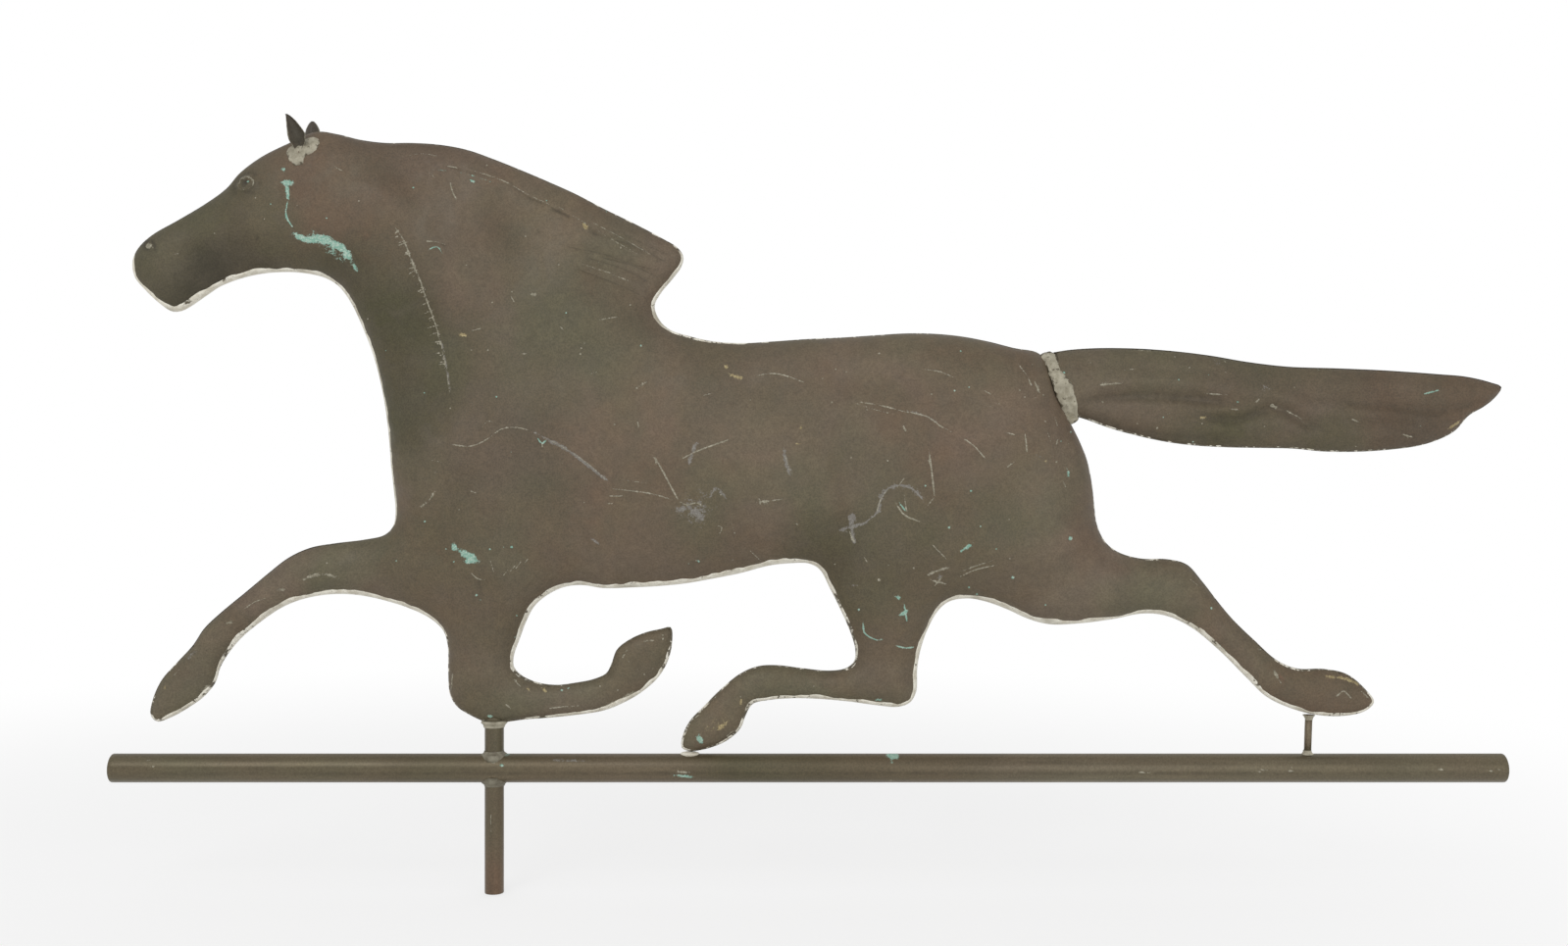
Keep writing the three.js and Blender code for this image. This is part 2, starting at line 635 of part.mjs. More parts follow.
const seamLoop = trace(bodyShares, true);
const sheetInset = seamReach + seatGap;
const bodyLoop = moveInwards(seamLoop, sheetInset);
const bodyForm = pressedForm(bodyLoop, bodyLoop.length, bodyStations);
const tailEdge = trace(tailEdgeShares, false);
const tailSeamLoop = [...tailEdge, ...tailRootShares.map(place)];
const tailLoop = moveInwards(tailSeamLoop, sheetInset, tailEdge.length);
const tailForm = pressedForm(tailLoop, tailEdge.length, tailStations);

const postCut = solid(rod(postRadius + seatGap, -overrun, postLength + capFlange + overrun, postSides));
const barCut = solid(rod(barRadius + seatGap, -barAhead - overrun, barBehind + overrun, barSides)
  .rotateY(Math.PI / 2).translate(0, 0, postBelowBar));

function makePost() {
  return ring(postRadius - postWall, postRadius, 0, postLength, postSides);
}

function makeCrossbar() {
  const tube = ring(barRadius - barWall, barRadius, -barAhead, barBehind, barSides);
  const level = tube.rotateY(Math.PI / 2).translate(0, 0, postBelowBar);
  return geometryOf(solid(level).subtract(postCut));
}

function makePivotCap() {
  const stemRadius = postRadius - postWall - seatGap;
  const stemBottom = postLength - capStem;
  return turned([
    [0, stemBottom + socketDepth], [socketDiameter / 2, stemBottom], [stemRadius, stemBottom],
    [stemRadius, postLength], [postRadius, postLength], [postRadius, postLength + capFlange],
    [0, postLength + capFlange],
  ], postSides);
}

function makeSpindle() {
  const radius = spindleDiameter / 2;
  const slope = socketDepth / (socketDiameter / 2);
  const point = postLength - capStem + socketDepth - seatGap * Math.hypot(1, slope);
  return turned([[0, 0], [radius, 0], [radius, point - radius * slope], [0, point]], postSides);
}

// Solder fillet round a tube: a collar from foot to base, then a slope that rises by height
function fillet(inner, outer, foot, base, height, sides) {
  const waist = (inner + outer) / 2;
  return turned([
    [inner, foot], [outer, foot], [outer, base], [waist, base + height / 3],
    [inner + seatGap, base + height], [inner, base + height], [inner, foot],
  ], sides);
}

// Fillet round the post that stands on the part below it
function postFillet(foot, base) {
  const outer = postRadius + filletReach;
  return fillet(postRadius + seatGap, outer, foot, base, filletHeight, postSides);
}

function makeBarSolder() {
  return geometryOf(largest(solid(postFillet(postBelowBar, barTop)).subtract(barCut)));
}

// The same fillet under the crossbar
function flippedUnderBar(geometry) {
  return geometry.clone().translate(0, 0, -postBelowBar).rotateX(Math.PI).translate(0, 0, postBelowBar);
}

function makeKneeSolder() {
  const top = undersideAt(0, postRadius + filletReach) - seatGap;
  const collar = filletHeight / 3;
  return postFillet(-collar, 0).rotateX(Math.PI).translate(0, 0, top - collar);
}

// Middle of the strut's upper end
function strutPlace() {
  const x = strutShare * unit;
  return { x, top: undersideAt(x, strutRadius) - seatGap };
}

// The leaning rod that the strut is cut from, which runs down into the crossbar
function strutSolid(radius, growth) {
  const { x, top } = strutPlace();
  const height = top - barTop;
  const lean = Math.atan2(strutLean, height);
  const straight = rod(radius, -height - barRadius, growth, strutSides);
  return solid(straight.rotateY(lean).translate(x, 0, top));
}

function makeStrut() {
  const { x, top } = strutPlace();
  const room = solid(rod(barRadius, postBelowBar, top, barSides).translate(x, 0, 0));
  return geometryOf(strutSolid(strutRadius, 0).intersect(room).subtract(barCut));
}

// Fillet round the strut, which the leaning strut is then cut out of
function strutFillet(foot, base) {
  const outer = strutRadius + strutSolderReach;
  return fillet(strutRadius, outer, foot, base, strutSolderHeight, strutSides);
}

function makeStrutFoot() {
  const lump = strutFillet(postBelowBar, barTop).translate(strutPlace().x - strutLean, 0, 0);
  const taken = barCut.add(strutSolid(strutRadius + seatGap, overrun));
  return geometryOf(largest(solid(lump).subtract(taken)));
}

function makeStrutHead() {
  const { x, top } = strutPlace();
  const ceiling = undersideAt(x, strutRadius + strutSolderReach) - seatGap;
  const collar = strutSolderHeight / 3;
  const height = Math.min(ceiling, top) - collar;
  const lump = solid(strutFillet(-collar, 0).rotateX(Math.PI).translate(x, 0, height));
  return geometryOf(largest(lump.subtract(strutSolid(strutRadius + seatGap, overrun))));
}

// Low mound of solder between the crossbar and the bent hind hoof
function makeHoofPad() {
  const ball = new THREE.SphereGeometry(1, padSides, padSides / 2);
  const mound = ball.scale(hoofPadLength / 2, hoofPadWidth / 2, hoofLift - seatGap);
  const placed = solid(mound.translate(hoofPadShare * unit, 0, barTop));
  return geometryOf(largest(placed.subtract(barCut)));
}

const copperLook = { color: 0x665c4b, roughness: 0.5, metalness: 0.55 };
const greenedLook = { color: 0x5c5c45, roughness: 0.52, metalness: 0.5 };
const solderLook = { color: 0xb5b09f, roughness: 0.62, metalness: 0.4 };
const steelLook = { color: 0x8f9297, roughness: 0.35, metalness: 0.9 };
const brassLook = { color: 0xa98b4a, roughness: 0.4, metalness: 0.85 };

const weathervane = new THREE.Group();

function addPiece(name, geometry, look) {
  const shape = geometry.index ? geometry.toNonIndexed() : geometry;
  shape.computeVertexNormals();
  const mesh = new THREE.Mesh(shape, new THREE.MeshStandardMaterial(look));
  mesh.name = name;
  weathervane.add(mesh);
}

function addPair(name, geometry, look) {
  addPiece(`near_${name}`, geometry, look);
  addPiece(`far_${name}`, mirrored(geometry), look);
}

addPiece('spindle', makeSpindle(), steelLook);
addPiece('post', makePost(), copperLook);
addPiece('pivot_cap', makePivotCap(), brassLook);
addPiece('crossbar', makeCrossbar(), copperLook);

addPair('body_shell', geometryOf(pressedSheet(bodyForm).subtract(postCut)), copperLook);
const bodySeam = seamSolder(seamLoop, seamLoop.length).subtract(postCut);
addPiece('body_seam_solder', geometryOf(bodySeam), solderLook);
addPair('tail_shell', geometryOf(pressedSheet(tailForm)), copperLook);
addPiece('tail_seam_solder', geometryOf(seamSolder(tailSeamLoop, tailEdge.length)), solderLook);
addPair('tail_joint_solder', makeTailJoint(), solderLook);

addPiece('near_ear', earLeaf(nearEarShare, earLean), greenedLook);
addPiece('far_ear', mirrored(earLeaf(farEarShare, 0)), greenedLook);
addPiece('near_ear_solder', makeEarSolder(nearEarShare, earLean), solderLook);
addPiece('far_ear_solder', mirrored(makeEarSolder(farEarShare, 0)), solderLook);

addPiece('knee_solder', makeKneeSolder(), solderLook);
const barSolder = makeBarSolder();
addPiece('bar_solder_above', barSolder, solderLook);
addPiece('bar_solder_below', flippedUnderBar(barSolder), solderLook);
addPiece('hoof_strut', makeStrut(), copperLook);
addPiece('strut_head_solder', makeStrutHead(), solderLook);
addPiece('strut_foot_solder', makeStrutFoot(), solderLook);
addPiece('hoof_pad_solder', makeHoofPad(), solderLook);

export default weathervane;
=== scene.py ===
"""Horse weathervane: pressed copper halves, solder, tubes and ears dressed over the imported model."""
import math

import bpy
import numpy as np
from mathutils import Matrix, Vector, noise
from mathutils.geometry import delaunay_2d_cdt


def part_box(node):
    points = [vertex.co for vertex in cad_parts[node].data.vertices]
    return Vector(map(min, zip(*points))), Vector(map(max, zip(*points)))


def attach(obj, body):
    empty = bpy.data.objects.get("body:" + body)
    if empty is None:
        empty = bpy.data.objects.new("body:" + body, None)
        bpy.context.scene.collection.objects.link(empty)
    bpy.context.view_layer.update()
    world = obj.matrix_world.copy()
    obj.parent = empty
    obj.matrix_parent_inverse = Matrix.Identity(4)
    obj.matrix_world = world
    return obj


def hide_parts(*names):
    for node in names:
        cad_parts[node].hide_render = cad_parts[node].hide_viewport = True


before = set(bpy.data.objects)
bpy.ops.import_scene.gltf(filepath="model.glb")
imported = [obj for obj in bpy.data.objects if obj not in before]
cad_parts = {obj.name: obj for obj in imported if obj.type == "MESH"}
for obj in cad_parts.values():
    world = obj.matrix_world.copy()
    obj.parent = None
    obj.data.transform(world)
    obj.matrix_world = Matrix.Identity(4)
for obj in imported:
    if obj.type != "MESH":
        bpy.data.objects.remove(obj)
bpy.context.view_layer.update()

MM = 0.001

# Outlines are shares: hundredths of the horse's length, across from the post's axis and up from
# the crossbar's axis. Depths are given as where they hold, in shares, and how deep they are.
# Marks, tints and forms are placed by pixels of the 1599 by 965 photograph, as the camera sees
# them. Lengths are millimetres unless a name says otherwise.

BODY = [
    # face, nose and jaw
    [-13.0, 46.5], [-15.0, 45.65], [-17.0, 44.65], [-18.6, 43.45], [-19.5, 42.4], [-21.0, 41.3],
    [-23.0, 40.1], [-25.0, 38.95], [-26.0, 38.0], [-26.4, 37.0], [-26.25, 35.9], [-25.5, 34.95],
    [-24.5, 34.0], [-23.6, 33.4], [-23.0, 33.38], [-22.4, 33.65], [-21.0, 34.6], [-20.0, 35.25],
    [-18.0, 35.95], [-16.0, 36.25], [-14.0, 36.2], [-12.4, 35.85], [-11.4, 35.25], [-10.5, 34.1],
    # chest
    [-9.5, 32.0], [-8.75, 30.0], [-8.23, 28.0], [-7.87, 26.0], [-7.63, 24.0], [-7.48, 22.0],
    [-7.25, 20.0], [-7.17, 18.6], [-7.35, 17.7], [-8.0, 17.05],
    # stretched foreleg, upper then lower edge
    [-9.5, 16.7], [-11.5, 16.45], [-13.4, 16.12], [-15.0, 15.4], [-16.5, 14.25], [-18.0, 13.0],
    [-20.0, 11.35], [-21.2, 10.2], [-22.0, 9.0], [-23.2, 7.7], [-24.3, 6.45], [-24.95, 5.0],
    [-25.1, 3.9], [-24.65, 3.4], [-23.6, 3.72], [-22.4, 4.38], [-21.2, 5.25], [-20.4, 6.25],
    [-20.05, 7.35], [-19.5, 8.3], [-18.5, 9.5], [-17.0, 10.75], [-15.5, 11.75], [-14.0, 12.35],
    [-12.0, 12.7], [-10.0, 12.65], [-8.0, 12.25], [-6.0, 11.6], [-4.6, 10.9], [-3.7, 10.05],
    [-3.38, 9.0], [-3.35, 7.0], [-3.22, 5.4], [-2.7, 4.5], [-1.7, 3.85], [-0.7, 3.42],
    # bent foreleg
    [0.7, 3.35], [2.0, 3.52], [4.0, 3.67], [6.0, 3.88], [8.0, 4.2], [9.4, 4.75], [10.7, 5.5],
    [12.0, 6.65], [12.75, 8.0], [13.02, 9.4], [12.9, 10.3], [12.2, 10.18], [11.0, 9.9],
    [9.8, 9.35], [8.95, 8.65], [8.6, 7.75], [8.2, 6.95], [7.3, 6.52], [6.0, 6.25], [4.4, 6.08],
    [3.0, 6.3], [1.95, 6.8], [1.42, 7.4], [1.42, 8.2], [1.8, 9.3], [2.35, 10.75], [2.95, 11.85],
    [3.8, 12.6], [5.0, 13.2], [6.3, 13.38],
    # belly
    [8.0, 13.15], [10.0, 13.2], [12.0, 13.3], [14.0, 13.5], [16.0, 13.85], [18.0, 14.25],
    [20.0, 14.78], [21.6, 14.97], [23.0, 14.95], [23.8, 14.5], [24.5, 13.2], [25.3, 11.6],
    [26.0, 10.0], [26.38, 8.7], [26.3, 7.8], [25.7, 7.3],
    # bent hind leg
    [24.5, 7.12], [22.5, 7.3], [20.7, 7.52], [19.3, 7.45], [18.0, 6.92], [16.6, 5.8], [15.3, 4.5],
    [14.3, 3.45], [13.78, 2.4], [13.7, 1.5], [14.2, 1.25], [15.5, 1.4], [17.0, 2.0], [18.0, 2.9],
    [18.4, 3.9], [18.9, 4.68], [20.0, 4.95], [22.0, 5.1], [24.0, 5.03], [26.0, 4.85],
    [28.0, 4.58], [29.5, 4.47], [30.4, 4.8], [30.85, 5.6], [30.92, 7.3], [31.2, 8.8],
    [31.7, 10.2], [32.4, 11.45], [33.2, 12.15], [34.6, 12.4],
    # stretched hind leg, lower then upper edge
    [36.0, 12.15], [37.5, 11.6], [39.0, 10.92], [40.5, 10.52], [42.5, 10.55], [45.0, 10.85],
    [47.5, 11.3], [49.2, 11.1], [51.0, 10.25], [53.0, 8.6], [55.0, 6.6], [56.4, 5.25],
    [58.0, 4.45], [60.0, 3.9], [62.0, 3.8], [63.6, 4.15], [64.3, 4.85], [63.6, 5.85],
    [62.3, 6.88], [60.6, 7.25], [58.7, 7.28], [57.2, 7.9], [55.5, 9.4], [54.0, 10.85],
    [52.9, 12.15], [51.7, 13.7], [50.6, 14.9], [49.2, 15.27], [47.2, 15.33], [45.6, 15.8],
    [44.6, 16.6], [44.0, 17.9],
    # rump and back
    [43.85, 19.0], [43.65, 20.8], [43.3, 22.5], [42.7, 24.0], [41.8, 25.8], [41.2, 27.2],
    [40.7, 28.7], [40.15, 29.95], [39.6, 30.4], [38.0, 30.7], [36.0, 31.2], [34.0, 31.57],
    [32.0, 31.75], [30.0, 31.77], [28.0, 31.65], [25.5, 31.48], [23.0, 31.37], [20.5, 31.2],
    [18.2, 31.07], [16.0, 31.2], [14.3, 31.57], [12.8, 32.07],
    # mane
    [12.05, 32.8], [11.72, 33.8], [12.2, 34.75], [13.0, 35.72], [13.7, 36.7], [13.82, 37.4],
    [13.4, 38.05], [12.3, 38.72], [10.5, 39.68], [8.0, 40.9], [6.0, 41.95], [4.0, 42.85],
    [2.0, 43.7], [0.0, 44.5], [-2.0, 45.2], [-4.0, 45.57], [-6.0, 45.7], [-8.0, 45.7],
    [-9.8, 45.93], [-11.4, 46.32],
]

TAIL_EDGE = [
    [42.3, 25.75], [43.2, 25.5], [45.0, 24.85], [47.0, 24.3], [49.0, 23.87], [51.0, 23.6],
    [53.5, 23.45], [56.0, 23.4], [58.4, 23.35], [60.5, 23.15], [63.0, 23.12], [65.5, 23.28],
    [67.5, 23.55], [69.0, 24.0], [70.2, 24.65], [71.2, 25.75], [72.3, 26.4], [73.1, 27.05],
    [73.6, 27.85], [72.8, 28.2], [71.0, 28.62], [69.0, 28.8], [65.0, 29.08], [61.5, 29.23],
    [58.0, 29.35], [55.0, 29.7], [52.5, 30.13], [50.0, 30.45], [47.0, 30.67], [44.0, 30.7],
    [42.0, 30.57], [40.9, 30.4],
]

TAIL_ROOT = [[41.1, 29.3], [41.6, 27.9], [42.1, 26.6]]

BODY_DEPTHS = [
    (-24.5, 37.0, 12), (-21.0, 38.5, 12), (-16.0, 40.0, 18), (-13.0, 43.5, 18), (-8.0, 40.0, 21),
    (-2.0, 38.0, 21), (-5.0, 43.5, 11), (3.0, 40.5, 11), (11.0, 36.5, 11), (-3.0, 29.0, 21),
    (5.0, 32.0, 21), (-3.0, 21.0, 28), (5.0, 24.0, 28), (14.0, 23.0, 27), (24.0, 22.0, 27),
    (36.0, 23.0, 28), (33.0, 28.0, 28), (39.0, 17.0, 28), (-4.0, 15.0, 19), (0.0, 11.0, 19),
    (-12.0, 14.5, 15), (-18.5, 10.8, 12), (-23.0, 5.6, 10), (-1.0, 6.0, 15), (6.0, 5.1, 12),
    (11.2, 8.2, 10), (28.0, 13.0, 19), (28.6, 7.0, 15), (21.0, 6.2, 12), (15.8, 3.2, 10),
    (42.0, 13.0, 19), (49.0, 13.2, 15), (54.5, 8.7, 12), (61.0, 5.5, 10),
]

TAIL_DEPTHS = [
    (42.5, 28.3, 13), (50.0, 27.0, 11), (65.0, 26.0, 11),
]

TAIL_SOLDER = [
    [39.8, 30.1], [40.2, 29.2], [40.6, 28.0], [40.95, 27.0], [41.4, 26.0], [42.05, 25.1],
    [42.75, 25.7], [42.55, 26.3], [42.3, 27.2], [42.05, 28.0], [41.4, 28.9], [41.05, 29.7],
    [40.85, 30.35], [40.3, 30.4],
]

EAR_SOLDER = [
    [-14.7, 45.0], [-14.65, 44.55], [-14.05, 43.8], [-13.65, 43.85], [-13.3, 44.5],
    [-12.8, 44.8], [-12.5, 45.3], [-12.65, 45.75], [-13.15, 45.85], [-13.9, 45.55],
]

# The solder seam along the outline: where, how wide it laps onto the sheet and how pale it is
SEAM_LAPS = [
    (145, 255, 1.5, 0.15), (139, 272, 2.6, 0.85), (155, 300, 3, 0.9), (176, 317, 3.4, 1),
    (200, 303, 3.2, 0.95), (215, 292, 2.6, 0.85), (240, 276, 2.6, 0.9), (275, 270, 2.8, 1),
    (320, 277, 2.4, 0.9), (350, 292, 2.6, 0.9), (375, 335, 2.7, 0.95), (392, 380, 2.8, 0.95),
    (400, 450, 2.7, 0.9), (404, 520, 2.4, 0.85), (398, 545, 1.4, 0.3), (340, 556, 1.2, 0.15),
    (290, 570, 1.2, 0.15), (240, 612, 1.2, 0.15), (195, 655, 1.3, 0.25), (165, 690, 1.5, 0.35),
    (155, 733, 2.6, 0.8), (180, 728, 2.6, 0.8), (210, 705, 2.2, 0.75), (222, 680, 1.8, 0.6),
    (250, 643, 2.6, 0.85), (290, 614, 3.4, 1), (345, 606, 3.6, 1), (400, 612, 3.6, 1),
    (440, 626, 3, 0.95), (455, 650, 1.8, 0.6), (458, 690, 1.6, 0.4), (470, 728, 2.2, 0.5),
    (520, 733, 2.2, 0.5), (580, 727, 3, 0.9), (630, 718, 3.4, 1), (665, 698, 3, 0.9),
    (684, 665, 2.2, 0.6), (684, 645, 1.8, 0.4), (650, 650, 1.4, 0.3), (625, 672, 1.4, 0.3),
    (600, 697, 1.4, 0.3), (550, 700, 1.4, 0.4), (527, 692, 1.5, 0.5), (524, 665, 2, 0.8),
    (535, 630, 2.2, 0.85), (560, 603, 2.6, 0.85), (590, 598, 3, 0.9), (660, 597, 3.6, 1),
    (740, 590, 3.8, 1), (810, 574, 3.8, 1), (835, 580, 3.2, 0.9), (850, 600, 2.4, 0.8),
    (868, 640, 2, 0.7), (873, 672, 2, 0.6), (850, 684, 1.4, 0.3), (790, 680, 1.4, 0.35),
    (750, 695, 1.5, 0.4), (710, 735, 1.8, 0.5), (697, 762, 2.2, 0.6), (720, 764, 2.2, 0.5),
    (752, 745, 2.2, 0.6), (768, 718, 2.4, 0.7), (800, 712, 2.8, 0.85), (860, 712, 3.2, 0.95),
    (900, 720, 3.4, 1), (925, 715, 3, 0.95), (934, 690, 3, 1), (940, 660, 3.4, 1), (955, 632, 3.4, 1),
    (985, 611, 3.4, 1), (1020, 624, 3.6, 1), (1075, 634, 3.6, 1), (1150, 627, 3.4, 1),
    (1200, 627, 2.8, 0.9), (1240, 652, 2.4, 0.85), (1280, 695, 2.6, 0.9), (1310, 722, 2.8, 0.9),
    (1360, 730, 2.8, 0.8), (1398, 720, 2.6, 0.8), (1385, 697, 1.6, 0.4), (1350, 683, 1.4, 0.3),
    (1310, 680, 1.8, 0.6), (1270, 645, 1.6, 0.3), (1220, 590, 1.4, 0.25), (1180, 570, 1.5, 0.4),
    (1130, 558, 1.5, 0.45), (1114, 520, 1.5, 0.45), (1108, 470, 1.4, 0.4), (1095, 430, 1.3, 0.3),
    (1060, 362, 1.3, 0.35), (1000, 347, 1.2, 0.3), (900, 340, 1.2, 0.3), (800, 345, 1.3, 0.4),
    (740, 352, 1.5, 0.6), (700, 340, 1.7, 0.7), (672, 325, 2.2, 0.9), (670, 305, 2.2, 0.9),
    (690, 280, 2, 0.85), (695, 262, 1.8, 0.7), (680, 248, 1.4, 0.4), (600, 208, 1.3, 0.35),
    (500, 163, 1.2, 0.25), (420, 148, 1.2, 0.25), (340, 137, 1.2, 0.3), (280, 148, 1.2, 0.15),
    (230, 190, 1.2, 0.1), (180, 225, 1.2, 0.1), (148, 245, 1.3, 0.15),
]

# Hammered forms. A step: its rise on the line's left, width, reach and line. A ridge, or below zero
# a groove: its height, width and line
BODY_STEPS = [
    (-2.6, 16, 60, [(330, 262), (285, 243), (262, 241), (230, 246), (197, 251), (160, 262)]),
    (1.6, 7, 40, [(366, 276), (348, 254), (327, 246), (304, 240), (294, 226), (292, 205), (291, 180),
     (296, 158)]),
    (1.8, 12, 55, [(403, 226), (411, 244), (420, 262), (430, 288), (440, 315), (449, 350), (456, 385),
     (462, 430), (455, 500)]),
    (1.5, 3, 22, [(442, 167), (478, 175.5), (514, 187.5), (541, 203), (563, 213), (596, 230),
     (625, 246), (655, 272)]), (0.7, 6, 18, [(325, 168), (360, 158), (418, 153), (455, 158)]),
    (0.9, 3, 12, [(197, 668), (208, 672), (222, 680)]),
    (-0.9, 3, 12, [(626, 668), (636, 676), (640, 690)]),
    (0.8, 3, 12, [(748, 706), (760, 716), (764, 728)]),
    (0.8, 3, 12, [(1338, 700), (1342, 690), (1345, 682)]),
]

BODY_RIDGES = [
    (-0.9, 5, [(292, 172), (292, 205), (294, 226), (302, 238), (327, 246), (349, 254), (366, 276)]),
    (-1.4, 3.6, [(575, 249), (600, 256), (625, 262), (671, 283)]),
    (-1.3, 3.4, [(590, 262), (640, 276), (666, 292)]), (-1.3, 3.4, [(612, 240), (650, 252), (684, 270)]),
    (-1.2, 3.2, [(586, 272), (630, 290), (657, 304)]), (-1.1, 3, [(632, 238), (668, 254), (692, 266)]),
    (-0.5, 2.6, [(480, 168), (530, 182), (590, 212)]), (-0.5, 2.6, [(540, 184), (600, 214), (640, 234)]),
    (-1.6, 34, [(868, 560), (852, 510), (848, 470), (858, 430)]),
    (-1.2, 40, [(560, 560), (590, 510), (600, 450), (590, 390)]),
    (-1, 36, [(985, 520), (1040, 540), (1090, 560)]), (1.4, 46, [(690, 440), (800, 430)]),
    (1.6, 50, [(960, 400), (1000, 470)]), (1.2, 30, [(500, 520), (500, 600)]),
    (-1, 20, [(690, 342), (740, 372), (780, 385)]), (1, 8, [(310, 588), (345, 592), (380, 600)]),
    (-0.8, 10, [(318, 600), (350, 610)]), (1, 9, [(1215, 590), (1236, 612), (1250, 630)]),
    (0.9, 8, [(880, 700), (905, 704), (925, 696)]),
]

TAIL_RIDGES = [
    (-3.2, 7, [(1101, 409), (1165, 404), (1239, 409), (1264, 413)]),
    (-2.9, 7, [(1219, 423), (1264, 428), (1302, 416), (1334, 432), (1357, 442)]),
    (-2.9, 7, [(1357, 410), (1411, 413), (1459, 418), (1487, 416), (1522, 405)]),
    (-2.3, 7, [(1108, 426), (1165, 442), (1251, 450)]),
    (-1.9, 6, [(1310, 398), (1350, 404), (1420, 402), (1490, 408)]),
    (-1.9, 6, [(1350, 428), (1400, 434), (1450, 430)]),
    (-0.7, 6, [(1140, 416), (1190, 424), (1230, 436)]),
    (1.8, 9, [(1110, 390), (1180, 388), (1260, 396), (1340, 412)]),
    (0.8, 8, [(1270, 436), (1300, 432), (1330, 444)]), (0.8, 8, [(1380, 420), (1440, 424), (1480, 430)]),
    (-0.7, 5, [(1090, 370), (1150, 374), (1240, 384)]),
]

# Tints of the patina and painted shade: where, and how olive, how red and how dark it is there
BODY_TINTS = [
    # The dark at 215, 275, at 245, 285 and at 340, 270 is painted shade where the jaw turns under
    (215, 220, 0.7, 0, 0), (215, 275, 0.9, 0, 0.75), (170, 245, 0.6, 0, 0.15), (245, 285, 0.7, 0, 0.5),
    (312, 195, 0.1, 0.7, 0.12), (290, 215, 0.6, 0.1, 0.1), (335, 225, 0.2, 0.6, 0.15),
    (340, 270, 0.75, 0, 0.3), (480, 260, 0.15, 0.3, 0.12), (420, 190, 0.15, 0.35, 0.25),
    (560, 190, 0, 0.35, 0), (650, 265, 0.1, 0.2, 0.1), (400, 330, 1, 0, 0.15), (415, 420, 0.8, 0, 0.15),
    (425, 500, 0.4, 0.2, 0), (445, 570, 0.5, 0.2, 0), (520, 470, 0.25, 0.1, 0.25),
    (500, 540, 0.4, 0.1, 0), (560, 330, 0.3, 0, 0.05), (640, 470, 0.1, 0.45, 0), (760, 450, 0, 0.25, 0),
    (740, 555, 0.35, 0.2, 0), (760, 375, 0.2, 0.2, 0.15), (850, 480, 0.35, 0, 0.05),
    (850, 560, 0.7, 0, 0.1), (960, 430, 0.1, 0.4, 0), (960, 360, 0.1, 0.3, 0), (1000, 540, 0.5, 0.1, 0),
    (900, 600, 0.6, 0.1, 0.05), (905, 660, 0.5, 0.2, 0), (1080, 520, 0.1, 0.1, 0),
    (1040, 430, 0.1, 0.3, 0), (1150, 590, 0.1, 0, 0), (1255, 640, 0.2, 0.2, 0), (1365, 705, 0.3, 0.5, 0),
    (905, 690, 0.25, 0, 0), (820, 700, 0.1, 0, 0), (735, 735, 0.05, 0.2, 0), (330, 585, 0.15, 0, 0),
    (240, 630, 0.15, 0.1, 0), (185, 705, 0.15, 0, 0), (480, 640, 0.5, 0.2, 0.05),
    (480, 690, 0.3, 0.2, 0), (560, 710, 0.1, 0, 0), (655, 670, 0.25, 0.2, 0),
]

TAIL_TINTS = [
    (1120, 400, 0.35, 0.05, 0), (1180, 380, 0.3, 0.1, 0.1), (1250, 395, 0.4, 0.1, 0.2),
    (1250, 440, 0.8, 0, 0.05), (1340, 400, 0.2, 0.3, 0.2), (1440, 425, 0.4, 0.4, 0.4),
    (1440, 400, 0.2, 0.4, 0.2), (1500, 405, 0.1, 0.7, 0.2), (1350, 445, 0.7, 0, 0.1),
]

TUBE_TINTS = [
    (130, 784, 0.35, 0.1, 0), (300, 784, 0.3, 0.15, 0), (450, 784, 0.55, 0.1, 0.1),
    (600, 784, 0.4, 0.2, 0), (800, 784, 0.8, 0.1, 0), (900, 784, 0.6, 0.2, 0), (1100, 784, 0, 0, 0),
    (1300, 784, 0.2, 0.1, 0), (1500, 784, 0.3, 0.1, 0), (504, 850, 0.3, 0.3, 0), (504, 900, 0.1, 0.7, 0),
    (504, 750, 0.5, 0.1, 0),
]

# Marks by kind: width, strength and the line that each follows. In the tables of spots each place
# is a mark of its own
NECK_RIDGE = [
    (403, 232), (411, 244), (420, 266), (428, 285), (436, 308), (447, 339), (452, 360), (456, 380),
]

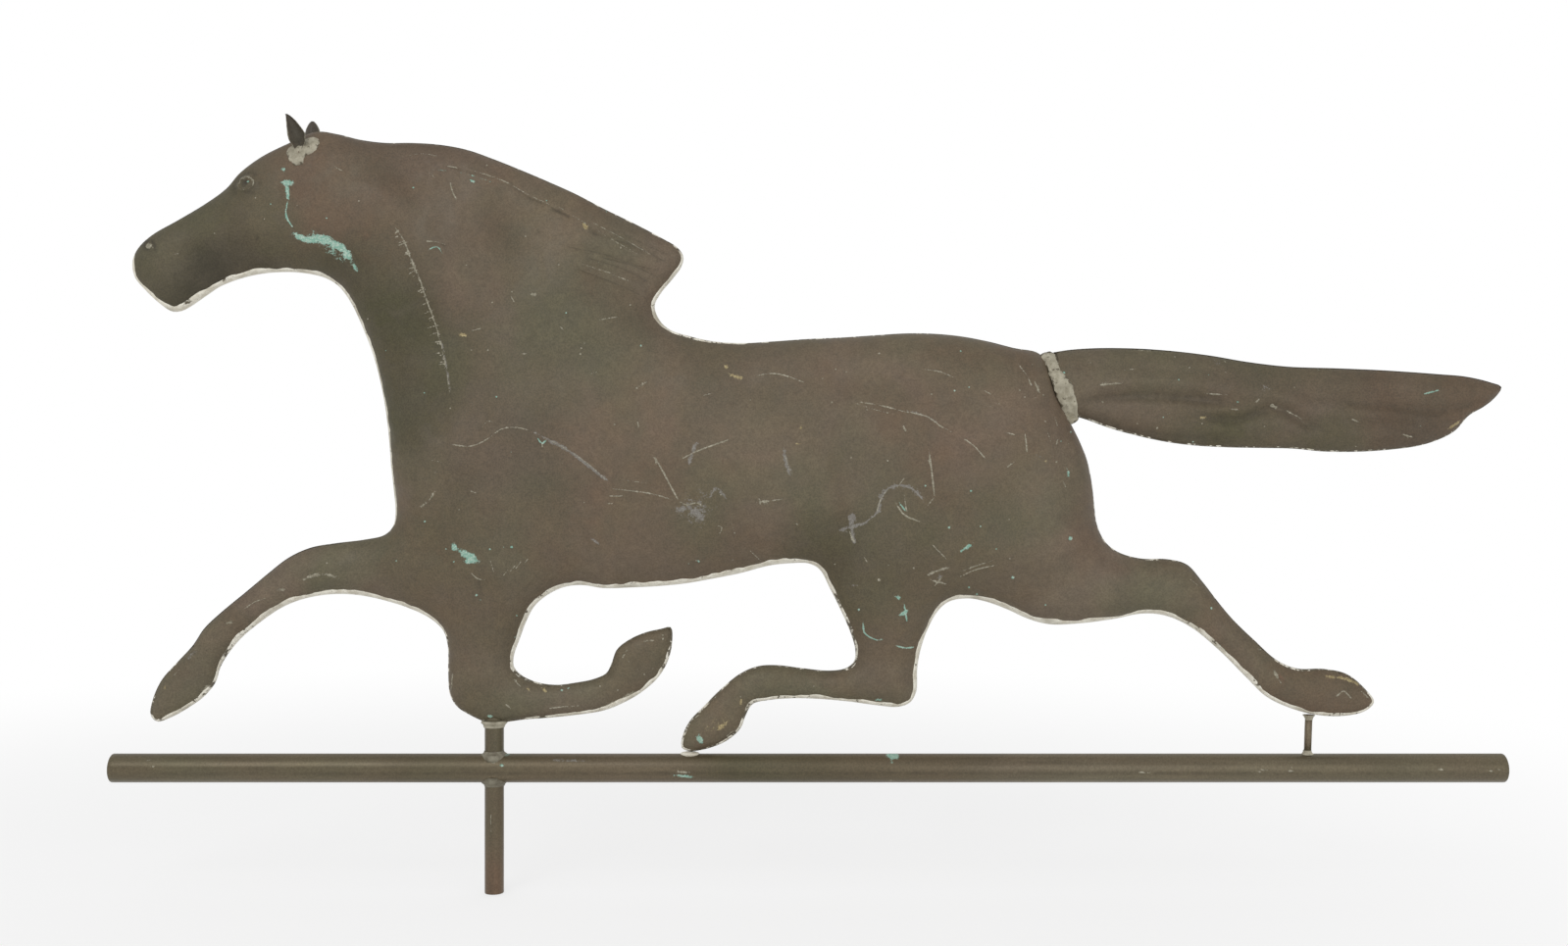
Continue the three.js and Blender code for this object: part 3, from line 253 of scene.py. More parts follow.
BODY_MARKS = {
    "verdigris": [
        (5, 0.95, [(289, 186), (294, 186), (299, 187)]), (3.4, 0.8, [(293, 190), (294, 204)]),
        (1.4, 0.7, [(293, 206), (292, 220), (299, 233)]),
        (5.6, 1.1, [(301, 239), (315, 244), (329, 244), (339, 247), (350, 254), (358, 265)]),
        (4, 0.42, [(358, 266), (365, 278)]), (10, 0.28, [(318, 240), (350, 262)]),
        (3, 0.4, [(288, 170), (291, 175)]), (1.1, 0.5, [(436, 256), (446, 252), (452, 259)]),
        (1.1, 0.34, [(440, 173), (470, 176), (505, 187)]), (2.4, 0.5, [(479, 183), (485, 187)]),
        (1.2, 0.8, [(548, 447), (553, 452), (558, 448)]), (5, 1, [(462, 556), (466, 560)]),
        (6.5, 0.95, [(471, 562), (484, 570)]), (4, 0.7, [(474, 573), (490, 572)]),
        (1.2, 0.7, [(917, 513), (924, 522)]), (3, 0.5, [(1089, 480), (1090, 488)]),
        (2.4, 0.6, [(979, 563), (991, 555)]), (2.6, 0.85, [(914, 609), (919, 610)]),
        (3.6, 0.9, [(919, 627), (926, 623)]), (1.4, 0.7, [(922, 617), (925, 634)]),
        (1.3, 0.62, [(880, 633), (882, 646), (895, 653), (901, 652)]),
        (1.3, 0.66, [(914, 659), (924, 661), (933, 660)]), (3.2, 0.5, [(892, 714), (900, 714)]),
        (1.2, 0.5, [(1232, 650), (1250, 664)]), (6, 0.9, [(712, 752), (716, 757)]),
        (2.4, 0.8, [(498, 731), (502, 731)]),
    ],
    "pale": [
        (1.2, 0.5, [(249, 180.5), (256, 181.5), (259.5, 186), (258, 190)]),
        (1.1, 0.42, [(242.5, 189), (245, 193), (250, 194.5)]), (1, 0.45, [(176, 259.5), (183, 258)]),
        (1, 0.4, [(338, 167), (345, 172), (351, 175)]), (3.2, 0.36, [(416, 256), (428, 286)]),
        (0.9, 0.4, [(456, 380), (459, 402)]), (1.1, 0.5, [(434, 246), (446, 247), (456, 250)]),
        (1.4, 0.5, [(480, 338), (496, 334)]), (1.1, 0.5, [(521, 302), (525, 309)]),
        (3, 0.42, [(540, 300), (548, 301)]), (1, 0.45, [(449, 168), (469, 172)]),
        (1, 0.4, [(478, 173), (514, 185), (541, 200), (563, 210)]),
        (2.6, 0.45, [(434, 173), (444, 181)]), (1.3, 0.6, [(459, 186), (461, 194), (465, 203)]),
        (0.9, 0.35, [(403, 162), (428, 157), (450, 160)]),
        (0.9, 0.34, [(560, 205), (610, 236), (655, 262)]), (0.9, 0.4, [(589, 268), (627, 280)]),
        (0.9, 0.36, [(600, 225), (640, 246), (668, 262)]), (0.9, 0.36, [(604, 272), (650, 290)]),
        (1.2, 0.5, [(457, 453), (481, 455), (497, 448), (511, 438), (526, 436), (543, 440)]),
        (1, 0.4, [(543, 440), (577, 458), (599, 473), (623, 494)]), (1.4, 0.8, [(553, 452), (553, 456)]),
        (1, 0.45, [(490, 440), (497, 430), (506, 431)]),
        (1, 0.6, [(625, 498.6), (666, 504), (686, 510)]), (1, 0.4, [(638, 490), (662, 493)]),
        (0.9, 0.6, [(620, 506), (635, 506)]), (0.9, 0.5, [(618, 513.6), (626, 513.6)]),
        (1, 0.85, [(669, 473), (668, 467), (671, 472), (684, 496), (692, 511)]),
        (0.9, 0.7, [(692, 511), (700, 515), (710, 513), (716, 516)]),
        (1, 0.7, [(695, 468), (714, 459), (742, 449)]), (1.2, 0.5, [(480, 584), (487, 590), (497, 592)]),
        (2.2, 0.5, [(428, 518), (436, 512), (444, 501)]), (1, 0.45, [(439, 469), (452, 472)]),
        (1, 0.45, [(479, 501), (487, 503)]), (1, 0.42, [(513, 588), (519, 580)]),
        (1, 0.42, [(520, 584), (526, 576)]), (1, 0.42, [(526, 580), (532, 572)]),
        (1, 0.42, [(534, 576), (540, 568)]), (0.9, 0.4, [(504, 584), (500, 570)]),
        (1.3, 0.5, [(601, 382), (610, 379)]), (2.4, 0.4, [(648, 396), (661, 389)]),
        (1, 0.45, [(608, 327), (631, 323)]), (1.2, 0.5, [(531, 361), (539, 361)]),
        (1.3, 0.5, [(571, 333), (575, 337)]), (1.3, 0.5, [(650, 429), (651, 436)]),
        (1.6, 0.85, [(773, 512), (785, 511)]), (1, 0.6, [(785, 511), (798, 509)]),
        (1.1, 0.7, [(774, 509), (775, 515)]), (1, 0.4, [(800, 462), (806, 482)]),
        (1, 0.6, [(772, 383), (788, 381), (804, 384), (822, 391)]), (1.1, 0.5, [(764, 561), (777, 573)]),
        (1, 0.5, [(730, 536), (736, 538), (733, 546)]), (0.9, 0.35, [(715, 404), (727, 401)]),
        (0.9, 0.35, [(746, 533), (750, 547)]),
        (1.1, 0.62, [(873, 409.6), (900, 414), (919, 419), (945, 425), (958, 434), (971, 441)]),
        (1.1, 0.62, [(982, 447), (993, 455), (1006, 469)]),
        (1.1, 0.5, [(942, 376.6), (958, 379), (973, 385)]),
        (0.9, 0.35, [(868, 410), (900, 420), (915, 423)]), (0.9, 0.35, [(1003, 398), (1012, 403)]),
        (0.9, 0.4, [(1012, 409), (1018, 413)]), (1.6, 0.6, [(921, 433), (924, 441)]),
        (1.4, 0.7, [(866, 542), (871, 553)]), (0.9, 0.5, [(894, 523), (898, 510), (905, 499)]),
        (1, 0.5, [(924, 485), (914.5, 498)]), (1.2, 0.75, [(947, 459), (950, 480), (953, 507)]),
        (0.9, 0.5, [(953, 507), (945, 517)]), (1.6, 0.5, [(948, 464), (948, 474)]),
        (1.3, 0.8, [(914.5, 515), (922, 525), (937, 532)]), (1, 0.6, [(922, 505), (925, 524)]),
        (1.4, 0.95, [(1049.5, 388), (1052, 394)]), (1.5, 0.95, [(1055, 389), (1060, 400)]),
        (1.1, 0.5, [(1037, 370), (1048, 384)]), (1.1, 0.5, [(1025, 441), (1036, 444)]),
        (1.3, 0.85, [(1045.5, 443), (1047.5, 461)]), (1.2, 0.6, [(1028, 476), (1036, 470)]),
        (1.2, 0.5, [(1079, 446), (1077, 455)]), (1.1, 0.5, [(1075, 424), (1079, 436)]),
        (1.1, 0.5, [(1084, 490), (1088, 500)]), (1, 0.45, [(1068, 440), (1072, 452)]),
        (1, 0.5, [(950, 555), (966, 571)]), (2, 0.62, [(945, 587), (956, 582), (968, 579)]),
        (1.6, 0.6, [(953, 598), (961, 588)]), (1.1, 0.6, [(950, 592), (966, 596)]),
        (1.1, 0.6, [(975, 590), (996, 581), (1018, 576)]),
        (0.9, 0.45, [(978, 584), (996, 577), (1012, 572)]), (1.2, 0.5, [(881, 568), (885, 575)]),
        (1.2, 0.5, [(886, 716), (902, 716)]),
        (2.6, 0.5, [(308, 592), (320, 587), (332, 586), (346, 590)]),
        (2.4, 0.46, [(281, 602), (291, 601)]), (1, 0.45, [(248, 622), (260, 614), (272, 610)]),
        (2, 0.5, [(227, 637), (238, 634)]), (4, 0.62, [(206, 706), (214, 699)]),
        (3, 0.3, [(176, 690), (184, 682)]), (1, 0.3, [(318, 600), (352, 604)]),
        (1.2, 0.5, [(462, 684), (460, 706)]), (1.5, 0.6, [(524, 693), (531, 701)]),
        (1, 0.6, [(559, 723), (575, 721), (591, 720)]), (1.4, 0.6, [(515, 718), (520, 722)]),
        (2.4, 0.5, [(616, 721), (632, 714), (650, 704)]), (1.2, 0.6, [(655, 654), (668, 653)]),
        (1.2, 0.5, [(634, 672), (640, 662)]), (2, 0.6, [(727, 713), (731, 709)]),
        (1.4, 0.5, [(709, 732), (713, 728)]), (3.4, 0.7, [(714, 750), (714, 758)]),
        (1.4, 0.5, [(740, 752), (752, 742)]), (2, 0.7, [(1299, 684), (1303, 692)]),
        (1.3, 0.5, [(1303, 692), (1308, 699)]), (1.5, 0.65, [(1362, 711), (1370, 705), (1378, 712)]),
        (1.3, 0.55, [(1386, 703), (1396, 712)]), (1, 0.4, [(1213, 590), (1222, 598)]),
        (1.4, 0.5, [(1252, 668), (1262, 684)]), (5, 0.4, [(497, 735), (513, 735)]),
    ],
    "red": [
        (26, 0.5, [(318, 184), (322, 216)]), (8, 0.6, [(374, 241)]), (12, 0.4, [(372, 262)]),
        (18, 0.35, [(404, 182), (410, 214)]), (8, 0.4, [(445, 559), (458, 574)]),
        (26, 0.3, [(690, 400), (740, 420)]), (30, 0.3, [(1010, 400), (1060, 430)]),
        (24, 0.35, [(1150, 470)]), (4, 0.9, [(1304, 688), (1310, 697)]),
        (7, 0.7, [(1344, 688), (1366, 691), (1386, 699)]),
    ],
    "ochre": [
        (3, 0.55, [(1350, 690), (1370, 692), (1386, 698)]), (3.6, 0.55, [(467, 342), (477, 342)]),
        (3.4, 0.9, [(595, 229), (599, 233)]), (3.2, 0.6, [(817, 434), (817, 439)]),
        (1.6, 0.5, [(811, 453), (819, 452)]), (2.4, 0.7, [(744, 382), (757, 386)]),
        (3, 0.5, [(1058, 468), (1069, 471)]), (4, 0.42, [(168, 701)]),
        (1.6, 0.8, [(536, 702), (541, 704)]), (2.2, 0.8, [(553, 702), (558, 705)]),
        (2.6, 1, [(733, 743), (739, 739)]), (12, 0.2, [(722, 742), (744, 728)]),
        (1.6, 0.9, [(756, 713), (755, 719)]),
    ],
    "olive": [
        (14, 0.5, [(422, 456), (424, 500), (425, 540)]), (12, 0.4, [(410, 560), (424, 574)]),
    ],
    "violet": [
        (3, 0.4, [(447, 335), (456, 378), (459, 400)]),
        (2.6, 0.6, [(543, 440), (554, 446), (577, 458), (599, 474), (622, 493)]),
        (30, 0.3, [(709, 519)]), (3, 0.62, [(688, 521), (704, 519), (718, 530)]),
        (2.4, 0.6, [(700, 512), (706, 524)]), (4, 0.42, [(722, 512), (730, 498), (740, 508)]),
        (4, 0.55, [(711, 450), (706, 462), (702, 475)]), (2, 0.45, [(601, 549), (612, 555)]),
        (4.5, 0.5, [(799, 456), (802, 472), (807, 488)]), (4, 0.34, [(754, 506)]),
        (2.4, 0.45, [(915, 418), (945, 425), (958, 434)]), (6, 0.85, [(869.6, 524), (868, 536)]),
        (3, 0.8, [(857, 541), (870, 537), (881, 534)]), (3.4, 0.6, [(868, 538), (872, 556)]),
        (9, 0.3, [(864, 540)]),
        (1.8, 0.85, [(881, 534), (894, 523), (898, 510), (905, 499), (916, 495), (929, 498), (938, 506),
         (943, 513)]), (12, 0.26, [(1060, 470)]), (7, 0.4, [(958, 588)]),
        (2.4, 0.5, [(868, 597), (876, 597)]), (5, 0.36, [(190, 672), (202, 662)]),
    ],
    "dark": [
        # From the second mark to the tenth, painted shade: under the mane's step and in the grooves
        # between its waves
        (2.5, 0.5, [(442, 249), (457, 251)]), (1.2, 0.45, [(523, 190), (541, 203), (554, 208)]),
        (2.6, 0.6, [(601, 236), (612, 241)]), (2, 0.6, [(563, 213), (582, 222)]),
        (1.2, 0.5, [(580, 252), (625, 262), (671, 283)]),
        (1.2, 0.5, [(596, 262), (640, 276), (664, 290)]),
        (1.1, 0.5, [(620, 243), (650, 252), (680, 268)]),
        (1.1, 0.5, [(590, 275), (630, 290), (655, 302)]),
        (1.2, 0.45, [(630, 236), (668, 254), (688, 263)]),
        (1, 0.4, [(610, 262), (645, 270), (672, 276)]), (3.5, 0.4, [(487, 592), (492, 604)]),
    ],
}

BODY_SPOTS = {
    "pale": [
        (1.1, 0.9, [(261, 202), (219, 238), (366, 205), (536, 241), (633, 253), (347, 576), (839, 386),
         (868, 467), (1030, 570), (950, 402), (905, 470), (884, 418)]),
        (2, 0.55, [(643, 311), (593, 355), (592, 361), (596, 350), (444, 482), (458, 520), (710, 572),
         (897, 592), (932, 579), (896, 591), (1283, 662), (630, 704), (1240, 480), (1066, 430),
         (735, 505)]),
        (1.3, 0.75, [(650, 683), (666, 682), (657, 688), (676, 648), (676, 652), (573, 698), (700, 660),
         (830, 700), (612, 700), (700, 520), (468, 520), (1045, 405), (1056, 406), (1064, 403),
         (1040, 398)]),
    ],
    "ochre": [
        (4.4, 0.62, [(740, 374)]),
    ],
    "dark": [
        (5, 0.6, [(262, 243)]), (5, 0.45, [(549, 237)]),
    ],
    "verdigris": [
        (3, 1.1, [(1092, 549)]), (2.6, 0.9, [(522, 558)]),
        (2, 0.6, [(463, 573), (433, 532), (1090, 482)]),
        (1.6, 0.85, [(486, 607), (1033, 589), (1066, 617), (988, 599), (996, 606), (573, 704),
         (580, 702), (1285, 663), (712, 573), (523, 662), (968, 538), (876, 622)]),
        (2.4, 0.85, [(1235, 621)]),
        (1.2, 0.7, [(1000, 537), (906, 577), (702, 575), (490, 612), (527, 628), (525, 650), (500, 560),
         (455, 560), (1016, 560)]),
    ],
}

TAIL_MARKS = {
    "dark": [
        # Painted shade in the tail's grooves, along the lines of its grooves in TAIL_RIDGES
        (9, 0.42, [(1101, 409), (1165, 404), (1239, 409), (1264, 413)]),
        (9, 0.42, [(1219, 423), (1264, 428), (1302, 416), (1334, 432), (1357, 442)]),
        (9, 0.42, [(1357, 410), (1411, 413), (1459, 418), (1487, 416), (1529, 404)]),
        (9, 0.42, [(1108, 426), (1165, 442), (1251, 450)]),
    ],
    "pale": [
        (1.8, 0.66, [(1121, 393), (1130, 392), (1143, 391)]), (2.4, 0.6, [(1279, 411), (1285, 407)]),
        (2, 0.6, [(1296, 413), (1304, 416)]), (1.4, 0.6, [(1255, 417), (1263, 418)]),
        (1.4, 0.45, [(1189, 423), (1197, 421)]), (1, 0.5, [(1228, 401), (1252, 403)]),
        (1, 0.45, [(1312, 418), (1330, 428)]), (1.2, 0.5, [(1378, 427), (1388, 431)]),
        (1.3, 0.6, [(1430, 443), (1440, 446)]), (1, 0.4, [(1145, 378), (1160, 376)]),
        (1, 0.4, [(1160, 357), (1175, 358)]),
    ],
    "ochre": [
        (3.2, 0.5, [(1222, 426), (1231, 426)]), (2.4, 0.8, [(1478, 437), (1488, 430)]),
    ],
    "red": [
        (4, 0.8, [(1482, 434)]), (14, 0.5, [(1500, 404), (1528, 401)]),
        (10, 0.35, [(1440, 408), (1480, 412)]),
    ],
    "verdigris": [
        (1.4, 0.6, [(1452, 402), (1468, 398)]),
    ],
    "violet": [
        (9, 0.3, [(1240, 370)]), (10, 0.25, [(1290, 396)]),
    ],
}

TAIL_SPOTS = {
    "verdigris": [
        (1.8, 0.9, [(1085, 380)]), (1.4, 0.6, [(1344, 377)]),
    ],
    "pale": [
        (2.6, 0.6, [(1125, 410)]), (1.6, 0.6, [(1227, 427), (1226, 432), (1180, 437), (1198, 364)]),
        (1.1, 0.8, [(1160, 432), (1250, 380), (1320, 395)]),
    ],
}

BAR_MARKS = {
    "dark": [
        # The first is painted shade along the bar's lower side
        (3.5, 0.3, [(112, 789.5), (800, 789), (1538, 789)]), (2.4, 0.3, [(1040, 778), (1100, 779)]),
    ],
    "verdigris": [
        (5, 1, [(907, 772), (915, 773)]), (3, 0.9, [(910, 777), (912, 780)]),
        (3.4, 0.6, [(688, 791), (706, 793)]), (2, 0.9, [(509, 778), (512, 782)]),
        (2.4, 0.4, [(500, 771), (520, 772)]),
    ],
    "pale": [
        (2.6, 0.55, [(690, 787), (702, 788)]), (1.4, 0.8, [(1283, 788), (1290, 785)]),
        (1.3, 0.6, [(1312, 787), (1320, 786)]), (1.3, 0.8, [(1468, 786), (1473, 782)]),
        (1.2, 0.5, [(146, 777), (152, 776)]), (1, 0.4, [(220, 780), (228, 780)]),
        (1.1, 0.5, [(1160, 788), (1176, 788)]), (1.2, 0.5, [(1516, 785), (1522, 787)]),
        (1.2, 0.5, [(980, 791), (984, 793)]),
        (1.4, 0.8, [(488, 768), (499, 772), (504.5, 773.6), (515, 768), (531, 769)]),
        (1.6, 0.8, [(501, 776), (504, 779)]),
    ],
    "violet": [
        (3, 0.3, [(560, 776), (600, 777)]),
    ],
}

BAR_SPOTS = {
    "pale": [
        (1.3, 0.8, [(1334, 785), (1355, 787), (1364, 787), (1425, 784), (1530, 785), (1320, 790),
         (1316, 783), (1467, 794), (1500, 790), (820, 778), (155, 782), (910, 797), (1060, 795)]),
    ],
}

POST_MARKS = {
    "ochre": [
        (2.4, 0.5, [(503, 802), (503, 810)]), (1.2, 0.5, [(497, 905), (510, 906)]),
    ],
    "pale": [
        (1, 0.4, [(500, 830), (501, 850)]),
    ],
    "verdigris": [
        (1.6, 0.4, [(508, 752), (508, 758)]), (1.4, 0.4, [(499, 797), (511, 797)]),
    ],
}

# Camera, from which pixels are placed

FRAME = np.array([1599, 965])
FOCAL_PIXELS = 1550
CAMERA = np.array([194.0, -1018.0, 281.0])
VIEWPOINT = CAMERA[[0, 2]]
DISTANCE = -CAMERA[1]


def make_camera():
    camera = bpy.data.cameras.new("camera")
    camera.sensor_width = 36
    camera.lens = 36 * FOCAL_PIXELS / float(FRAME[0])
    camera.clip_end = 50
    holder = bpy.data.objects.new("camera", camera)
    bpy.context.scene.collection.objects.link(holder)
    holder.location = CAMERA * MM
    holder.rotation_euler = (math.pi / 2, 0, 0)
    bpy.context.scene.camera = holder


make_camera()


def on_face(pixels, height_of):
    """Places in the plane whose points, raised by height_of, the camera sees at the pixels."""
    across = np.array(pixels, float) - FRAME / 2
    middle = VIEWPOINT + across * (1, -1) * DISTANCE / FOCAL_PIXELS
    spots = middle
    for _ in range(4):
        spots = VIEWPOINT + (middle - VIEWPOINT) * (1 - height_of(spots) / DISTANCE)[:, None]
    return spots


def level(height):
    """A face at the same height everywhere."""
    return lambda points: np.full(len(points), float(height))


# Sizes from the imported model

def node_box(name):
    low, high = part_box(name)
    return np.array(low) / MM, np.array(high) / MM


BAR_LOW, BAR_HIGH = node_box("crossbar")
POST_LOW, POST_HIGH = node_box("post")
UNIT = (node_box("tail_seam_solder")[1][0] - node_box("body_seam_solder")[0][0]) / 100
BASE = (BAR_LOW[2] + BAR_HIGH[2]) / 2
BAR_RADIUS = (BAR_HIGH[2] - BAR_LOW[2]) / 2
POST_RADIUS = (POST_HIGH[0] - POST_LOW[0]) / 2
SHEET = 1.1
ROLL = 36.0
EDGE_INSET = 0.3
EDGE_STEP = 2.4
PLAN_STEP = 3.3
EDGE_ROWS = (0.45, 1.1, 2.0, 3.3, 5.0, 7.2) # how far in the net's rows lie along a free edge
ROW_SPACING = 0.4 # least gap between points of the edge rows
MARK_SPACING = 0.5 # least gap between points of the marks
EDGE_CLEARANCE = 0.25 # least gap between the outline and a point inside it
GRID_CLEARANCE = 0.62 # least gap round a point of the filling grid, as a share of its step


# Curves and distances in the horse's plane

def place(shares):
    return np.asarray(shares, float) * UNIT + (0, BASE)


def evened(points, step, closed):
    """The same line with its points at even steps."""
    line = np.vstack([points, points[:1]]) if closed else points
    run = np.concatenate([[0], np.cumsum(np.linalg.norm(np.diff(line, axis=0), axis=1))])
    stops = np.linspace(0, run[-1], max(int(round(run[-1] / step)), 2) + 1)
    if closed:
        stops = stops[:-1]
    return np.stack([np.interp(stops, run, line[:, axis]) for axis in (0, 1)], 1)


def curve_span(four):
    """Points of a smooth curve through four points, between the second and the third."""
    knots = [0.0]
    for a, b in zip(four, four[1:]):
        knots.append(knots[-1] + max(np.linalg.norm(b - a), 1e-9) ** 0.5)
    t = np.linspace(knots[1], knots[2], 16, endpoint=False)[:, None]
    layer = four
    for depth in (1, 2, 3):
        nearer = []
        for index in range(len(layer) - 1):
            start, end = (knots[index], knots[index + depth]) if depth < 3 else knots[1:3]
            share = (t - start) / (end - start)
            nearer.append(layer[index] * (1 - share) + layer[index + 1] * share)
        layer = nearer
    return layer[0]


def trace(points, step, closed=False):
    """Evenly spaced points along a smooth curve through the given ones."""
    if closed:
        padded = [points[-1], *points, points[0], points[1]]
    else:
        padded = [2 * points[0] - points[1], *points, 2 * points[-1] - points[-2]]
    dense = [curve_span(padded[i:i + 4]) for i in range(len(padded) - 3)]
    if not closed:
        dense.append(points[-1:])
    return evened(np.vstack(dense), step, closed)


def inward_normals(line, closed=True):
    """Unit vectors to the left of a line, which for an anticlockwise loop point into it."""
    along = np.roll(line, -1, 0) - np.roll(line, 1, 0) if closed else np.gradient(line, axis=0)
    normals = np.stack([-along[:, 1], along[:, 0]], 1)
    return normals / np.linalg.norm(normals, axis=1)[:, None]


def soft_distance(points, line, closed):
    """Smoothed distance to a line: the true one beside a long edge, and less between two."""
    a = line if closed else line[:-1]
    b = np.roll(line, -1, 0) if closed else line[1:]
    along = b - a
    length = np.linalg.norm(along, axis=1)
    along = along / length[:, None]
    found = []
    for part in np.array_split(points, max(1, len(points) // 2000)):
        to = part[:, None, :] - a[None]
        foot = (to * along).sum(-1)
        away = (to[..., 0] * along[:, 1] - to[..., 1] * along[:, 0]) ** 2 + 1e-9
        ahead = length - foot
        ends = ahead / np.sqrt(away + ahead ** 2) + foot / np.sqrt(away + foot ** 2)
        found.append(np.sqrt(2 / np.maximum((ends / away).sum(1), 1e-12)))
    return np.concatenate(found)


def nearest_distance(points, line, closed=False):
    """True distance to a line, and how far along it the nearest place lies, as a share."""
    if closed:
        line = np.vstack([line, line[:1]])
    a, along = line[:-1], np.diff(line, axis=0)
    length = np.maximum(np.linalg.norm(along, axis=1), 1e-9)
    run = np.concatenate([[0], np.cumsum(length)])
    best, place_along = [], []
    for part in np.array_split(points, max(1, len(points) // 4000)):
        to = part[:, None, :] - a[None]
        share = np.clip((to * along).sum(-1) / length ** 2, 0, 1)
        gap = np.linalg.norm(to - share[..., None] * along, axis=-1)
        pick = gap.argmin(1)
        rows = np.arange(len(part))
        best.append(gap[rows, pick])
        place_along.append((run[pick] + share[rows, pick] * length[pick]) / run[-1])
    return np.concatenate(best), np.concatenate(place_along)


def is_inside(points, loop):
    inside = np.zeros(len(points), bool)
    for a, b in zip(loop, np.roll(loop, -1, 0)):
        if a[1] == b[1]:
            continue
        crosses = (a[1] > points[:, 1]) != (b[1] > points[:, 1])
        side = points[:, 0] < a[0] + (points[:, 1] - a[1]) * (b[0] - a[0]) / (b[1] - a[1])
        inside ^= crosses & side
    return inside


def close_to(points, line, reach):
    """Indices of the points in the line's box, widened by the reach."""
    return np.flatnonzero(((points > line.min(0) - reach) & (points < line.max(0) + reach)).all(1))


def blended(points, places, values, power):
    """Value at each point, blended from those at a few places by their nearness."""
    gaps = ((points[:, None, :] - places[None]) ** 2).sum(-1) + UNIT ** 2
    weights = 1 / gaps ** power
    return (weights * values).sum(1) / weights.sum(1)


def smooth(value, low=0.0, high=1.0):
    value = np.clip((value - low) / (high - low), 0, 1)
    return value * value * (3 - 2 * value)


def noise_at(points, size, seed=0.0):
    """Smooth noise from about -1 to 1 with waves of the given size, at plan or space points."""
    spots = np.zeros((len(points), 3))
    spots[:, :points.shape[1]] = points / size
    spots[:, 2] += seed * 17.3
    return np.array([noise.noise(spot) for spot in spots.tolist()])


# Outlines and heights of the pressed forms

SEAM_LOOP = trace(place(BODY), EDGE_STEP, True)
TAIL_LINE = trace(place(TAIL_EDGE), EDGE_STEP)
BODY_LOOP = SEAM_LOOP + inward_normals(SEAM_LOOP) * EDGE_INSET
TAIL_FREE = TAIL_LINE + inward_normals(TAIL_LINE, False) * EDGE_INSET
TAIL_LOOP = np.vstack([TAIL_FREE, place(TAIL_ROOT)])
RUMP_BELOW = [41.65, 25.5]
RUMP_ABOVE = [39.4, 30.5]
# The tail's edges carried on to the rump, so that the joint's two halves meet above and below
JOINT_EDGE = np.vstack([place([RUMP_BELOW]), TAIL_FREE, place([RUMP_ABOVE])])


def rolled(points, line, closed, stations):
    """Height of a sheet that rolls over to a line, as deep as the nearest stations say."""
    stations = np.array(stations, float)
    depth = blended(points, place(stations[:, :2]), stations[:, 2], 1.5)
    share = np.clip(soft_distance(points, line, closed) / ROLL, 0, 1)
    return depth * np.sqrt(1 - (1 - share) ** 2)


def body_height(points):
    return rolled(points, BODY_LOOP, True, BODY_DEPTHS)


def tail_height(points):
    return rolled(points, TAIL_FREE, False, TAIL_DEPTHS)


def signed_distance(points, line):
    """Distance to an open line, above zero on its left, and the share along it."""
    gap, share = nearest_distance(points, line)
    run = np.linspace(0, 1, len(line))

    def along_line(shares):
        return np.stack([np.interp(shares, run, line[:, axis]) for axis in (0, 1)], 1)

    along = along_line(np.clip(share + 0.02, 0, 1)) - along_line(np.clip(share - 0.02, 0, 1))
    off = points - along_line(share)
    return gap * np.sign(along[:, 0] * off[:, 1] - along[:, 1] * off[:, 0]), share


def formed(points, steps, ridges, height_of):
    """Height that the hammered forms add or take at each point."""
    rise = np.zeros(len(points))
    for amount, width, *reach, pixels in steps + ridges:
        line = trace(on_face(pixels, height_of), 2.0)
        near = close_to(points, line, 3 * max([width, *reach]))
        if not len(near):
            continue
        gap, share = signed_distance(points[near], line)
        if reach:
            shape = smooth(gap, -width / 2, width / 2) * np.exp(-np.abs(gap) / reach[0])
        else:
            shape = np.exp(-(gap / (0.6 * width)) ** 2)
        rise[near] += amount * shape * smooth(np.minimum(share, 1 - share), 0, 0.16)
    return rise


EYE_PIXEL = (250.5, 187.2)
NOSTRIL_PIXEL = (152, 251)
EYE = on_face([EYE_PIXEL], body_height)[0]
NOSTRIL = on_face([NOSTRIL_PIXEL], body_height)[0]
# Ovals of the face: half width, half height and tilt in radians
EYE_OVAL = (5.2, 4.1, 0.35)
PUPIL_OVAL = (2.6, 1.7, 0.35)
NOSTRIL_OVAL = (2.6, 1.9, -0.7)


def oval(points, centre, wide, high, tilt):
    """Distance from a centre in units of a tilted oval's radii."""
    turn = np.array([[math.cos(tilt), math.sin(tilt)], [-math.sin(tilt), math.cos(tilt)]])
    return np.linalg.norm((points - centre) @ turn.T / (wide, high), axis=1)


def bell(value, middle, width):
    return np.exp(-((value - middle) / width) ** 2)


def eye_oval(points):
    return oval(points, EYE, *EYE_OVAL)


def nostril_oval(points):
    return oval(points, NOSTRIL, *NOSTRIL_OVAL)


def face_form(points):
    """The eye's raised rim and ball, and the nostril's rim and dent."""
    eye, nostril = eye_oval(points), nostril_oval(points)
    rise = 1.8 * bell(eye, 1, 0.3) + 1.1 * (1 - smooth(eye, 0, 0.65)) - 0.9 * bell(eye, 1.75, 0.4)
    return rise + 0.7 * bell(nostril, 1.1, 0.45) - 1.2 * (1 - smooth(nostril, 0, 0.8))


def dented(points, rise, added):
    """A rolled height with its forms and soft dents, eased off towards the edge."""
    dents = 0.5 * noise_at(points, 75, 4) + 0.22 * noise_at(points, 26, 5)
    return rise + (added + dents) * smooth(rise, 0, 9)


def shaped_body(points):
    added = formed(points, BODY_STEPS, BODY_RIDGES, body_height) + face_form(points)
    return dented(points, body_height(points), added)


def shaped_tail(points):
    return dented(points, tail_height(points), formed(points, [], TAIL_RIDGES, tail_height))


# Marks

